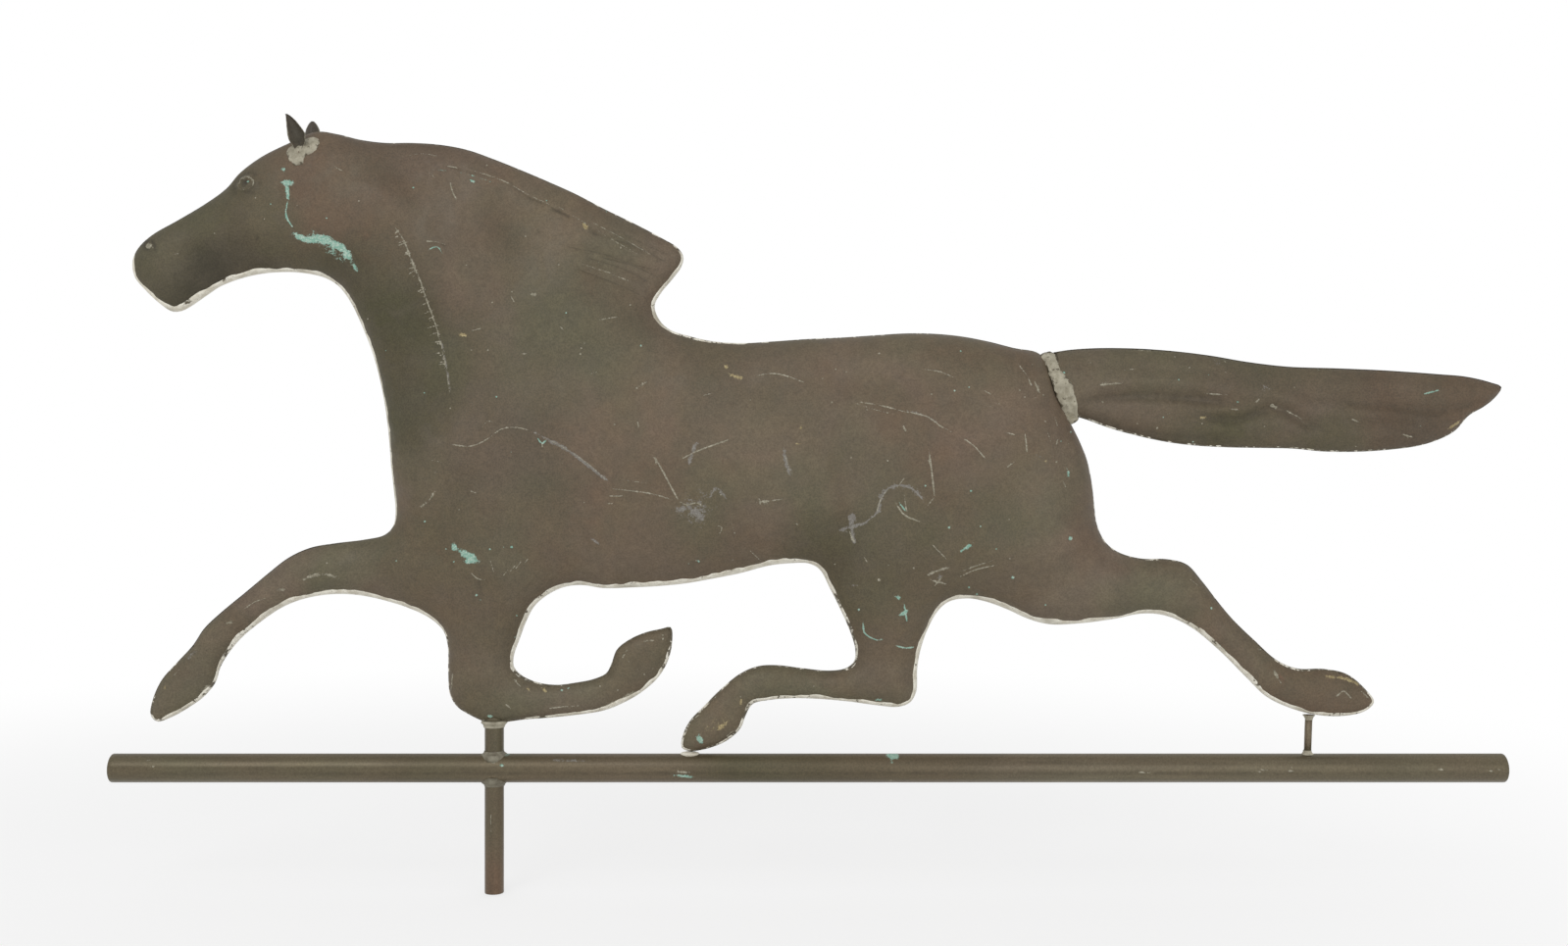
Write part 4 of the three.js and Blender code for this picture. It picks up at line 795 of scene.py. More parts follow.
KEYS = ("olive", "red", "dark", "pale", "verdigris", "ochre", "violet")
SOFT_TINTS = KEYS[:3]
RELIEF = {"pale": 0.15, "verdigris": 0.3, "dark": -0.2}
MARK_STEP = 1.4 # spacing of the points along a mark
THIN_MARK = 1.9 # a mark narrower than this has three rows of points, set close together
CLOUD_WIDTH = 10 # a mark as wide as this is a soft cloud without relief
DRAW_LOW, DRAW_HIGH = (-23, 5), (42, 45) # shares between which seeded marks fall on the body
TAIL_LOW, TAIL_HIGH = (43, 23.5), (71, 30)


def photo_marks(table, height_of, apart=False):
    """A table's marks as (kind, width, strength, line). With apart, each place is its own mark."""
    marks = []
    for kind, rows in table.items():
        for width, strength, pixels in rows:
            line = on_face(pixels, height_of)
            marks += [(kind, width, strength, part) for part in (line[:, None] if apart else [line])]
    return marks


def file_strokes(count, seed):
    """Short strokes that a file left across the ridge down the neck."""
    draw = np.random.default_rng(seed)
    line = trace(on_face(NECK_RIDGE, body_height), 1.5)
    normals = inward_normals(line, False)
    marks = []
    for pick in np.sort(draw.integers(2, len(line) - 1, count)):
        reach = draw.uniform(1.6, 6.0)
        slant = np.array([0.0, draw.uniform(-0.8, 0.3)])
        ends = [line[pick] + normals[pick] * side * reach + slant * side for side in (-1.0, 0.4)]
        marks.append(("pale", draw.uniform(0.8, 1.1), draw.uniform(0.3, 0.6), np.array(ends)))
    return marks


def far_marks(low, high, count, seed):
    """Scratches, spots and verdigris specks of the far side, spread by a seeded draw."""
    draw = np.random.default_rng(seed)
    marks = []
    for _ in range(count):
        kind = draw.choice(["pale", "pale", "pale", "verdigris", "ochre", "violet", "dark"])
        start = draw.uniform(low, high)
        if kind in ("verdigris", "ochre", "dark") or draw.random() < 0.25:
            marks.append((kind, draw.uniform(1.2, 4.0), draw.uniform(0.4, 0.95), place([start])))
            continue
        turn, length, bend = draw.uniform(0, math.pi), draw.uniform(1, 6), draw.uniform(-0.4, 0.4)
        line = [start + length * t * np.array([math.cos(turn + bend * t), math.sin(turn + bend * t)])
                for t in (0, 0.5, 1)]
        marks.append((kind, draw.uniform(0.9, 1.8), draw.uniform(0.4, 0.75), place(line)))
    return marks


def specks(low, high, count, seed):
    """Tiny pale and green specks, spread by a seeded draw."""
    draw = np.random.default_rng(seed)
    return [(draw.choice(["pale", "pale", "verdigris"]), draw.uniform(0.8, 1.3),
             draw.uniform(0.45, 0.9), place([draw.uniform(low, high)])) for _ in range(count)]


def ring_points(centre, radius):
    turn = np.arange(0, 2 * math.pi, min(1.2 / radius, 1.05))
    return centre + radius * np.stack([np.cos(turn), np.sin(turn)], 1)


def mark_rows(marks):
    """Rows of points along and beside each mark, so that the mesh can carry it."""
    rows = []
    for _, width, _, line in marks:
        half = width / 2
        thin = width < THIN_MARK
        if width >= CLOUD_WIDTH:
            continue
        if len(line) == 1:
            rows += [line, ring_points(line, half + 0.8), ring_points(line, 0.8 if thin else half)]
            continue
        reach = half + 0.7
        offsets = (-0.8, 0, 0.8) if thin else np.linspace(-reach, reach, int(2 * round(reach / 1.5) + 1))
        line = trace(line, MARK_STEP) if len(line) > 2 else evened(line, MARK_STEP, False)
        rows += [line + inward_normals(line, False) * offset for offset in offsets]
    return rows


def painted(points, marks, tints, height_of):
    """Amounts of each tint at the points, and the height that marks add."""
    tints = np.array(tints, float)
    places = on_face(tints[:, :2], height_of)
    amounts = {key: np.zeros(len(points)) for key in KEYS}
    for column, key in enumerate(SOFT_TINTS):
        share = blended(points, places, tints[:, 2 + column], 2.0)
        amounts[key] = np.clip(share + 0.16 * noise_at(points, 34, column), 0, 1)
    rise = np.zeros(len(points))
    ragged = 1 + 0.5 * noise_at(points, 3.1, 9)
    # Noise that makes every mark patchy, the painted shade and highlights among them
    patchiness = np.clip(0.9 + 0.7 * noise_at(points, 5.3, 10), 0.3, 1.2)
    for kind, width, strength, line in marks:
        near = close_to(points, line, width + 2)
        half = width / 2
        if len(line) == 1:
            gap, fade = np.linalg.norm(points[near] - line[0], axis=1), 1.0
        else:
            route = trace(line, MARK_STEP) if len(line) > 2 else line
            gap, share = nearest_distance(points[near], route)
            fade = 1 - 0.6 * np.abs(2 * share - 1) ** 5
        if width < CLOUD_WIDTH:
            cover = fade * (1 - smooth(gap, 0.1 * half, half * ragged[near] + 0.3))
            rise[near] += RELIEF.get(kind, 0) * strength * cover
        else:
            cover = bell(gap, 0, half)
        amounts[kind][near] = np.maximum(amounts[kind][near], strength * cover * patchiness[near])
    return amounts, rise

# Meshes

def make_object(name, vertices, faces, material, paint=None):
    """A smooth object at the origin from millimetre vertices, with its paint as float attributes."""
    mesh = bpy.data.meshes.new(name)
    mesh.from_pydata((np.asarray(vertices) * MM).tolist(), [], [list(map(int, f)) for f in faces])
    mesh.update()
    mesh.materials.append(material)
    mesh.polygons.foreach_set("use_smooth", [True] * len(mesh.polygons))
    for key, values in (paint or {}).items():
        layer = mesh.attributes.new(key, "FLOAT", "POINT")
        layer.data.foreach_set("value", np.asarray(values, np.float32))
    piece = bpy.data.objects.new(name, mesh)
    bpy.context.scene.collection.objects.link(piece)
    return piece


def dress(piece, node):
    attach(piece, "vane")
    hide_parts(node)


def in_space(flat, depth):
    """Points in space from places in the horse's plane and how far behind it they lie."""
    return np.stack([flat[:, 0], depth * np.ones(len(flat)), flat[:, 1]], 1)


def thinned(points, kept, spacing):
    """The points, taken in their order, that stay the spacing away from every one kept so far."""
    cells = {}

    def cell(spot):
        return int(spot[0] // spacing), int(spot[1] // spacing)

    for spot in kept.tolist():
        cells.setdefault(cell(spot), []).append(spot)
    result = []
    for spot in points.tolist():
        cx, cz = cell(spot)
        near = (other for dx in (-1, 0, 1) for dz in (-1, 0, 1)
                for other in cells.get((cx + dx, cz + dz), ()))
        if all((spot[0] - o[0]) ** 2 + (spot[1] - o[1]) ** 2 >= spacing ** 2 for o in near):
            result.append(spot)
            cells.setdefault((cx, cz), []).append(spot)
    return np.array(result).reshape(-1, 2)


def hex_grid(low, high, step):
    rows = []
    for row, z in enumerate(np.arange(low[1], high[1], step * math.sqrt(3) / 2)):
        across = np.arange(low[0] + (row % 2) * step / 2, high[0], step)
        rows.append(np.stack([across, np.full(len(across), z)], 1))
    return np.vstack(rows)


def plan_mesh(loop, free_count, step, insets, extra=()):
    """Points and triangles of a flat net inside a loop, with rows along its free edge."""
    normals = inward_normals(loop)
    rows = [(loop + normals * inset)[:free_count] for inset in insets]
    rows = [row[nearest_distance(row, loop, True)[0] > 0.85 * inset]
            for row, inset in zip(rows, insets)]
    inner = thinned(np.vstack(rows), np.empty((0, 2)), ROW_SPACING)
    if len(extra):
        inner = np.vstack([inner, thinned(np.vstack(extra), inner, MARK_SPACING)])
    grid = thinned(hex_grid(loop.min(0), loop.max(0), step), inner, step * GRID_CLEARANCE)
    inner = np.vstack([inner, grid])
    inner = inner[is_inside(inner, loop)]
    points = np.vstack([loop, inner[nearest_distance(inner, loop, True)[0] > EDGE_CLEARANCE]])
    count = len(loop)
    edges = [(i, (i + 1) % count) for i in range(count)]
    flat, _, faces, _, _, _ = delaunay_2d_cdt(
        [tuple(p) for p in points], edges, [list(range(count))], 1, 1e-4)
    return np.array([tuple(p) for p in flat]), np.array(faces)


def grid_faces(rows, columns, round_columns=True):
    """Quads of a grid of points, row by row, whose rows may close into rings."""
    faces = []
    for r in range(rows - 1):
        for c in range(columns if round_columns else columns - 1):
            d = (c + 1) % columns
            faces.append((r * columns + c, r * columns + d, (r + 1) * columns + d,
                          (r + 1) * columns + c))
    return faces


def ring_faces(count, columns, closed):
    """Faces of a row of rings. A closed row joins its last ring to its first, an open one is
    capped."""
    faces = grid_faces(count, columns)
    first, last = tuple(range(columns)), tuple(range((count - 1) * columns, count * columns))
    if closed:
        return faces + [(last[c], last[(c + 1) % columns], first[(c + 1) % columns], first[c])
                        for c in range(columns)]
    return faces + [first[::-1], last]


def layered(name, net, rim, heights, side, material, paint, shared=0):
    """A sheet with two layers over a flat net, at an outer and an inner height. side is -1 for the
    near half, 1 for the far. A wall joins the layers along the rim, but for the first points of
    the net, which both layers share."""
    flat, faces = net
    count = len(flat)
    under = np.arange(count) + np.where(np.arange(count) < shared, 0, count - shared)
    outer, inner = (in_space(flat, side * height) for height in heights)
    faces = [tuple(f) for f in faces] + [tuple(f)[::-1] for f in under[faces]]
    for i in range(rim):
        j = (i + 1) % rim
        wall = tuple(dict.fromkeys((i, under[i], under[j], j)))
        if len(wall) > 2:
            faces.append(wall)
    if side > 0:
        faces = [face[::-1] for face in faces]
    both = {key: np.concatenate([values, values[shared:]]) for key, values in paint.items()}
    return make_object(name, np.vstack([outer, inner[shared:]]), faces, material, both)


# Materials

def linear(red, green, blue):
    """The colour as written in the usual 0 to 255 numbers, as the shader takes it."""
    def one(value):
        value /= 255
        return value / 12.92 if value <= 0.04045 else ((value + 0.055) / 1.055) ** 2.4
    return (one(red), one(green), one(blue), 1.0)


class Look:
    """The nodes of a material or of the world. Most methods add a node and return its output."""

    def __init__(self, owner):
        self.owner = owner
        owner.use_nodes = True
        self.tree = owner.node_tree
        self.space = self.node("ShaderNodeTexCoord").outputs["Object"]

    def node(self, kind, **settings):
        made = self.tree.nodes.new(kind)
        for key, value in settings.items():
            setattr(made, key, value)
        return made

    def link(self, value, socket):
        if isinstance(value, bpy.types.NodeSocket):
            self.tree.links.new(value, socket)
        else:
            socket.default_value = value

    def filled(self, made, **values):
        """The node, with a value or a link for each named input."""
        for key, value in values.items():
            self.link(value, made.inputs[key.replace("_", " ")])
        return made

    def noise(self, size_mm, detail=4.0, rough=0.55, stretch=(1, 1, 1), distortion=0.0):
        vector = self.space
        if stretch != (1, 1, 1):
            mapping = self.filled(self.node("ShaderNodeMapping"), Scale=stretch, Vector=vector)
            vector = mapping.outputs["Vector"]
        made = self.filled(self.node("ShaderNodeTexNoise"), Vector=vector, Scale=1 / (size_mm * MM),
                           Detail=detail, Roughness=rough, Distortion=distortion)
        return made.outputs["Fac"]

    def cells(self, size_mm):
        made = self.filled(self.node("ShaderNodeTexVoronoi"), Vector=self.space,
                           Scale=1 / (size_mm * MM))
        return made.outputs["Distance"]

    def span(self, value, low, high, out_low=0.0, out_high=1.0):
        made = self.node("ShaderNodeMapRange", interpolation_type="SMOOTHSTEP")
        self.filled(made, Value=value, From_Min=low, From_Max=high, To_Min=out_low, To_Max=out_high)
        return made.outputs["Result"]

    def math(self, operation, a, b=0.0, clamp=False):
        made = self.node("ShaderNodeMath", operation=operation, use_clamp=clamp)
        self.link(a, made.inputs[0])
        self.link(b, made.inputs[1])
        return made.outputs["Value"]

    def attribute(self, name):
        return self.node("ShaderNodeAttribute", attribute_name=name).outputs["Fac"]

    def mix(self, share, a, b, blend="MIX"):
        made = self.node("ShaderNodeMix", data_type="RGBA", blend_type=blend, clamp_factor=True)
        for index, value in ((0, share), (6, a), (7, b)):
            self.link(value, made.inputs[index])
        return made.outputs[2]

    def shaded(self, colour, pattern, low, high, strength):
        """The colour made darker and lighter by a pattern."""
        shade = self.span(pattern, low, high, 1 - strength, 1 + strength)
        grey = self.filled(self.node("ShaderNodeCombineColor"), Red=shade, Green=shade, Blue=shade)
        return self.mix(1.0, colour, grey.outputs["Color"], "MULTIPLY")

    def bump(self, height, distance_mm, strength, **under):
        made = self.filled(self.node("ShaderNodeBump"), Height=height, Distance=distance_mm * MM,
                           Strength=strength, **under)
        return made.outputs["Normal"]

    def finish(self, colour, roughness, normal, metallic):
        self.filled(self.tree.nodes["Principled BSDF"], Base_Color=colour, Roughness=roughness,
                    Normal=normal, Metallic=metallic)
        return self.owner

    def glow(self, kind, strength):
        return self.filled(self.node(kind), Color=(1, 1, 1, 1), Strength=strength)

    def seen_by(self, *rays):
        """1 where one of these kinds of ray looks at the surface."""
        path = self.node("ShaderNodeLightPath")
        share = 0.0
        for ray in rays:
            share = self.math("MAXIMUM", share, path.outputs[f"Is {ray} Ray"])
        return share

    def surface(self, output, share, first, second):
        """Sends a mix of two shader nodes to the named output node."""
        mixed = self.node("ShaderNodeMixShader")
        for value, socket in zip((share, first.outputs[0], second.outputs[0]), mixed.inputs):
            self.link(value, socket)
        self.link(mixed.outputs[0], self.tree.nodes[output].inputs["Surface"])


def material_look(name):
    return Look(bpy.data.materials.new(name))


# The dark tint serves the copper's own darker patina and painted shade: under the jaw, round the eye and
# nostril, in the grooves of the mane and tail, in the ear's hollow and along the bar's lower side
TINTS = {"olive": (80, 76, 52), "red": (110, 86, 68), "dark": (54, 48, 38)}
UMBER = (108, 86, 68)
PIT_BROWN = (60, 54, 42)
SOLDER_STAIN = (98, 90, 73)
SOLDER_GREEN = (150, 186, 174)
# What lies on the copper: its tint, and the tint of its lighter crumbs. The pale also carries the
# painted highlights on the eye's rim and the nostril
CRUSTS_AND_HIGHLIGHTS = (("ochre", (150, 134, 96), (204, 188, 142)), ("violet", (124, 119, 112), (152, 149, 142)),
          ("pale", (148, 142, 123), (194, 189, 170)), ("verdigris", (142, 190, 172), (202, 220, 206)))
CLOUD_TINTS = ((0.95, 0.98, 0.93), (1.05, 1.01, 1.02))


def patina(name, base, streaks=(1, 1, 1), roughness=(0.5, 0.64), metallic=0.25):
    """Aged copper: umber and tan clouds, mottling, fine grain, and the painted tints and marks, among
    which are painted shade and painted highlights.
    """
    look = material_look(name)
    clouds = look.noise(85, 3, 0.5, streaks, 0.5)
    blotches = look.noise(16, 6, 0.66, streaks, 0.5)
    mottle = look.noise(4.5, 4, 0.6, streaks)
    grain = look.noise(1.1, 3, 0.7)
    low, high = (linear(*(np.array(base) * tint)) for tint in CLOUD_TINTS)
    colour = look.mix(look.span(clouds, 0.36, 0.66), low, high)
    umber = look.span(look.noise(40, 4, 0.6, streaks), 0.5, 0.72, 0, 0.35)
    colour = look.mix(umber, colour, linear(*UMBER))
    for key in SOFT_TINTS:
        amount = look.math("MULTIPLY", look.attribute(key), look.span(blotches, 0.25, 0.6, 0.65, 1))
        colour = look.mix(amount, colour, linear(*TINTS[key]))
    colour = look.shaded(colour, blotches, 0.3, 0.72, 0.13)
    colour = look.shaded(colour, mottle, 0.3, 0.7, 0.06)
    colour = look.shaded(colour, grain, 0.28, 0.72, 0.2)
    flakes = look.span(look.noise(1.5, 5, 0.75), 0.3, 0.7, 0.12, 1)
    crust_and_highlight_masks = []
    for key, paint, crumbs in CRUSTS_AND_HIGHLIGHTS:
        ragged = look.math("SUBTRACT", look.math("MULTIPLY", look.attribute(key), 2.5), flakes)
        crust_and_highlight_masks.append(look.span(ragged, 0, 0.35, 0, 0.88))
        bright = look.mix(look.span(grain, 0.42, 0.66), linear(*paint), linear(*crumbs))
        colour = look.mix(crust_and_highlight_masks[-1], colour, bright)
    pits = look.math("MULTIPLY", look.span(look.cells(9), 0, 0.08, 0.6, 0),
                     look.span(look.noise(45, 2), 0.46, 0.58))
    colour = look.mix(pits, colour, linear(*PIT_BROWN))
    height = look.math("ADD", look.math("MULTIPLY", blotches, 0.6), look.math("MULTIPLY", grain, 0.4))
    crust_and_highlight = look.math("MAXIMUM", crust_and_highlight_masks[-1], crust_and_highlight_masks[-2])
    rough = look.math("ADD", look.span(blotches, 0.35, 0.65, *roughness),
                      look.math("MULTIPLY", crust_and_highlight, 0.2), True)
    relief = look.bump(crust_and_highlight, 0.25, 0.6, Normal=look.bump(height, 0.14, 0.5))
    return look.finish(colour, rough, relief, metallic)


def solder_look(name, dark, base, light):
    """Soft solder: pale grey with cream and grey blotches, rough and lumpy."""
    look = material_look(name)
    blotches = look.noise(7, 6, 0.66)
    grain = look.noise(1.4, 4, 0.65)
    colour = look.mix(look.span(blotches, 0.36, 0.6), linear(*base), linear(*light))
    colour = look.mix(look.span(look.noise(22, 3, 0.5), 0.5, 0.7, 0, 0.6), colour, linear(*dark))
    colour = look.mix(look.span(grain, 0.58, 0.7, 0, 0.65), colour, linear(*dark))
    ragged = look.math("SUBTRACT", look.math("MULTIPLY", look.attribute("dark"), 1.6),
                       look.span(look.noise(2.6, 4, 0.7), 0.3, 0.7, 0.1, 1))
    colour = look.mix(look.span(ragged, 0, 0.3), colour, linear(*SOLDER_STAIN))
    colour = look.mix(look.attribute("verdigris"), colour, linear(*SOLDER_GREEN))
    height = look.math("ADD", blotches, look.math("MULTIPLY", grain, 0.5))
    return look.finish(colour, look.span(blotches, 0.3, 0.7, 0.5, 0.72), look.bump(height, 0.5, 0.7),
                       0.1)


def metal_look(name, dark, base, roughness):
    """Drawn or turned metal with fine lines along it."""
    look = material_look(name)
    lines = look.noise(3, 4, 0.6, (1, 1, 30))
    colour = look.mix(look.span(lines, 0.3, 0.7), linear(*dark), linear(*base))
    return look.finish(colour, look.span(look.noise(8, 3), 0.3, 0.7, *roughness),
                       look.bump(lines, 0.06, 0.4), 0.9)


COPPER = patina("patina_copper", (114, 104, 87))
TUBE = patina("patina_tube", (116, 106, 88), (0.1, 1, 1), (0.3, 0.44), 0.4)
POST_TUBE = patina("patina_post", (110, 101, 84), (1, 1, 0.12), (0.34, 0.5), 0.4)
EAR = patina("ear_copper", (86, 81, 70))
SEAM = solder_look("seam_solder", (166, 158, 138), (218, 211, 193), (246, 242, 228))
PATCH = solder_look("patch_solder", (122, 115, 96), (158, 151, 131), (188, 182, 162))
COLLAR = solder_look("collar_solder", (92, 86, 70), (116, 109, 92), (150, 145, 127))
STEEL = metal_look("spindle_steel", (120, 122, 126), (150, 152, 156), (0.3, 0.45))
BRASS = metal_look("cap_brass", (140, 112, 62), (172, 142, 78), (0.32, 0.5))


# Pressed shells

def face_paint(points, amounts):
    """Darkens the pupil, paints shade in the dents round the eye and nostril, and paints highlights on
    the eye's rim and over the nostril.
    """
    eye, nostril = eye_oval(points), nostril_oval(points)
    pupil = 1 - smooth(oval(points, EYE, *PUPIL_OVAL), 0.6, 1.3)
    highlight_breaks = smooth(noise_at(points, 2.2, 12), -0.25, 0.3)
    # Painted shade round the eye and nostril, a painted highlight broken up by noise on the eye's rim,
    # and a painted highlight over the nostril
    for key, shares in (("dark", (pupil, 0.55 * bell(eye, 1.7, 0.4), 0.8 * bell(nostril, 1.8, 0.6))),
                        ("pale", (0.34 * bell(eye, 1.05, 0.2) * highlight_breaks,
                                  0.6 * (1 - smooth(nostril, 0.5, 1.2))))):
        amounts[key] = np.maximum.reduce([amounts[key], *shares])


def pressed_piece(name, loop, free_count, shaped, flat_height, marks, tints, side):
    """One pressed half as a sheet with its thickness."""
    flat, faces = plan_mesh(loop, free_count, PLAN_STEP, EDGE_ROWS, mark_rows(marks))
    amounts, relief = painted(flat, marks, tints, flat_height)
    if shaped is shaped_body:
        face_paint(flat, amounts)
    rise = shaped(flat)
    rise = rise + relief * smooth(rise, 0, 4)
    rise[:free_count] = 0
    inner = np.maximum(rise - SHEET, 0.3 * rise)
    piece = layered(name, (flat, faces), len(loop), (rise, inner), side, COPPER, amounts, free_count)
    dress(piece, name + "_shell")


NEAR_BODY = (photo_marks(BODY_MARKS, body_height) + photo_marks(BODY_SPOTS, body_height, True)
             + [("pale", 1.5, 0.55, on_face(NECK_RIDGE, body_height))] + file_strokes(46, 3)
             + specks(DRAW_LOW, DRAW_HIGH, 90, 4))
NEAR_TAIL = (photo_marks(TAIL_MARKS, tail_height) + photo_marks(TAIL_SPOTS, tail_height, True)
             + specks(TAIL_LOW, TAIL_HIGH, 14, 5))
FAR_BODY = far_marks(DRAW_LOW, DRAW_HIGH, 110, 11)
FAR_TAIL = far_marks(TAIL_LOW, TAIL_HIGH, 24, 12)
for side, half, body_marks, tail_marks in ((-1, "near", NEAR_BODY, NEAR_TAIL),
                                           (1, "far", FAR_BODY, FAR_TAIL)):
    pressed_piece(half + "_body", BODY_LOOP, len(BODY_LOOP), shaped_body, body_height, body_marks,
                  BODY_TINTS, side)
    pressed_piece(half + "_tail", TAIL_LOOP, len(TAIL_FREE), shaped_tail, tail_height, tail_marks,
                  TAIL_TINTS, side)


# Solder along the seams

# The bead's section: shares of the lap in from the edge, and how proud of the sheet it is there
SECTION = ((1.0, -0.6), (0.9, 0.12), (0.7, 0.5), (0.48, 0.62), (0.28, 0.5), (0.12, 0.25))
WIDE_LAP = 3.6 # at this width the bead stands as proud as its section says
THIN_LAP = 0.4 # a bead that is less than fully pale narrows towards this width
FULL_PALE = 0.7


def solder_paint(dark):
    return {"dark": dark, "verdigris": np.zeros(len(dark))}


def seam_bead(name, line, closed, sheet_height, edge_height, lap, pale):
    """A lumpy bead over the joined edges of the sheets, lapping onto both by a varying width.
    Near the edge it follows the height that starts at the outline, and further in the sheet's."""
    normals = inward_normals(line, closed)
    lap = lap * (1 + 0.45 * noise_at(line, 14, 1) + 0.3 * noise_at(line, 5, 2))
    lumps = 1 + 0.7 * noise_at(line, 7, 3) + 0.5 * noise_at(line, 3, 4)
    near, far = [], []
    for share, proud in SECTION:
        spot = line + normals * (lap * share)[:, None]
        own = smooth(share, 0.25, 1.0)
        rise = sheet_height(spot) * own + edge_height(spot) * (1 - own)
        rise = np.maximum(rise + proud * np.clip(lap / WIDE_LAP, 0.2, 1) * lumps, 0.3)
        near.append(in_space(spot, -rise))
        far.insert(0, in_space(spot, rise))
    rings = np.stack(near + [in_space(line, 0)] + far, 1)
    count, width = rings.shape[:2]
    faces = [face[::-1] for face in ring_faces(count, width, closed)]
    spots = rings.reshape(-1, 3)
    dark = np.repeat(1 - pale, width) + 0.35 * noise_at(spots, 8, 5) + 0.3 * noise_at(spots, 3, 6)
    piece = make_object(name, spots, faces, SEAM, solder_paint(np.clip(dark, 0, 1)))
    dress(piece, name + "_solder")


def body_lap(line):
    """Width of the lap and how pale it is, from the nearest places of the table along the line."""
    laps = np.array(SEAM_LAPS, float)
    pale = np.minimum(1, laps[:, 3] / FULL_PALE)
    laps[:, 2] = THIN_LAP + (laps[:, 2] - THIN_LAP) * pale ** 1.6
    run = nearest_distance(on_face(laps[:, :2], level(0)), line, True)[1]
    order = np.argsort(run)
    here = np.arange(len(line)) / len(line)
    return [np.interp(here, run[order], laps[order, column], period=1) for column in (2, 3)]


def tail_lap(line):
    """A wider and paler lap along the tail's underside."""
    under = smooth(inward_normals(line, False)[:, 1], -0.05, 0.6)
    return 0.4 + 0.6 * under, 0.1 + 0.3 * under


def body_crown(points):
    return rolled(points, SEAM_LOOP, True, BODY_DEPTHS)


def tail_crown(points):
    return rolled(points, TAIL_LINE, False, TAIL_DEPTHS)


seam_bead("body_seam", SEAM_LOOP, True, shaped_body, body_crown, *body_lap(SEAM_LOOP))
seam_bead("tail_seam", TAIL_LINE, False, shaped_tail, tail_crown, *tail_lap(TAIL_LINE))


# Tubes, rods and collars

POST_WALL = 1.2
BAR_WALL = 1.3
HOLE_PLAY = 0.3
STRUT_RADIUS = 2.4
STRUT_SUNK = 2 # how far the strut is carried on below its solid
PAD_SUNK = 0.6 # how far the pad is carried on below its solid
COLLAR_RISE = 2.2
COLLAR_SUNK = 4.2 # how far the bar's collars reach into it
KNEE_SUNK = 1.6 # how far the knee's collar is carried on above its solid


def turned_piece(name, profile, sides, material, closed=True, along_x=False, centre=(0, 0, 0),
                 wobble=0.0, seed=0):
    """A piece turned from (radius, height) pairs about an upright axis, or one along x. A closed
    profile joins its last row to its first, an open one is capped."""
    angles = np.linspace(0, 2 * math.pi, sides, endpoint=False)
    spots = np.array([[(radius * math.cos(angle), radius * math.sin(angle), height)
                       for angle in angles] for radius, height in profile]).reshape(-1, 3)
    if wobble:
        radius = np.maximum(np.linalg.norm(spots[:, :2], axis=1), 1)
        spots[:, :2] *= 1 + (wobble * noise_at(spots, 5, seed) / radius)[:, None]
    if along_x:
        spots = spots[:, [2, 0, 1]]
    faces = ring_faces(len(profile), sides, closed)
    paint = {key: np.zeros(len(spots)) for key in KEYS}
    return make_object(name, spots + centre, faces, material, paint)


def tube_profile(radius, wall, start, end, step, soften=0.45):
    """Section of a tube with softened ends, from the outside at its start round to the inside."""
    lengths = np.linspace(start + soften, end - soften, max(int((end - start) / step), 2))
    outside = [(radius - soften * 0.3, start + soften * 0.25)] + [(radius, z) for z in lengths] + [
        (radius - soften * 0.3, end - soften * 0.25)]
    lip = [(radius - wall * 0.5, end), (radius - wall, end - soften * 0.4)]
    inside = [(radius - wall, z) for z in (end - 3, start + 3)]
    foot = [(radius - wall, start + soften * 0.4), (radius - wall * 0.5, start)]
    return outside + lip + inside + foot


def points_of(piece):
    spots = np.empty(3 * len(piece.data.vertices))
    piece.data.vertices.foreach_get("co", spots)
    return spots.reshape(-1, 3) / MM


def cut_hole(piece, radius, bottom, top):
    """Cuts a round upright hole on the post's axis through a piece."""
    ring = [(radius, bottom), (radius, top)]
    tool = turned_piece("hole_tool", ring, 64, piece.data.materials[0], closed=False)
    cut = piece.modifiers.new("hole", "BOOLEAN")
    cut.operation, cut.object, cut.solver = "DIFFERENCE", tool, "EXACT"
    evaluated = piece.evaluated_get(bpy.context.evaluated_depsgraph_get())
    mesh = bpy.data.meshes.new_from_object(evaluated)
    piece.modifiers.clear()
    piece.data = mesh
    bpy.data.objects.remove(tool)


def paint_tube(piece, marks, front):
    """Paints the marks on a tube's front, and its tints all round."""
    spots = points_of(piece)
    amounts = painted(spots[:, [0, 2]], marks, TUBE_TINTS, level(front))[0]
    for key, values in amounts.items():
        if key not in SOFT_TINTS:
            values[spots[:, 1] > 0] = 0
        piece.data.attributes[key].data.foreach_set("value", values.astype(np.float32))


def make_tubes():
    post = turned_piece("post", tube_profile(POST_RADIUS, POST_WALL, POST_LOW[2], POST_HIGH[2], 8),
                        72, POST_TUBE)
    bar = turned_piece("crossbar", tube_profile(BAR_RADIUS, BAR_WALL, BAR_LOW[0], BAR_HIGH[0], 3),
                       96, TUBE, along_x=True, centre=(0, 0, BASE))
    cut_hole(bar, POST_RADIUS + HOLE_PLAY, BAR_LOW[2] - 5, BAR_HIGH[2] + 5)
    marks = (photo_marks(BAR_MARKS, level(BAR_RADIUS)) + photo_marks(BAR_SPOTS, level(BAR_RADIUS), True))
    paint_tube(bar, marks, BAR_RADIUS)
    paint_tube(post, photo_marks(POST_MARKS, level(POST_RADIUS)), POST_RADIUS)
    dress(post, "post")
    dress(bar, "crossbar")


def collar_profile(inner, outer, low, high, foot_reach=0.0):
    """Solder collar: a concave flare from a thin upper lip down to a wider, rounded foot."""
    rows = [(inner, low - foot_reach), (outer + 0.1, low - foot_reach)]
    for share in np.linspace(0, 1, 9):
        rows.append((inner + 0.35 + (outer - inner) * (1 - share) ** 2.2, low + (high - low) * share))
    return rows + [(inner, high)]


def mirrored_profile(profile, middle):
    return [(radius, 2 * middle - height) for radius, height in reversed(profile)]


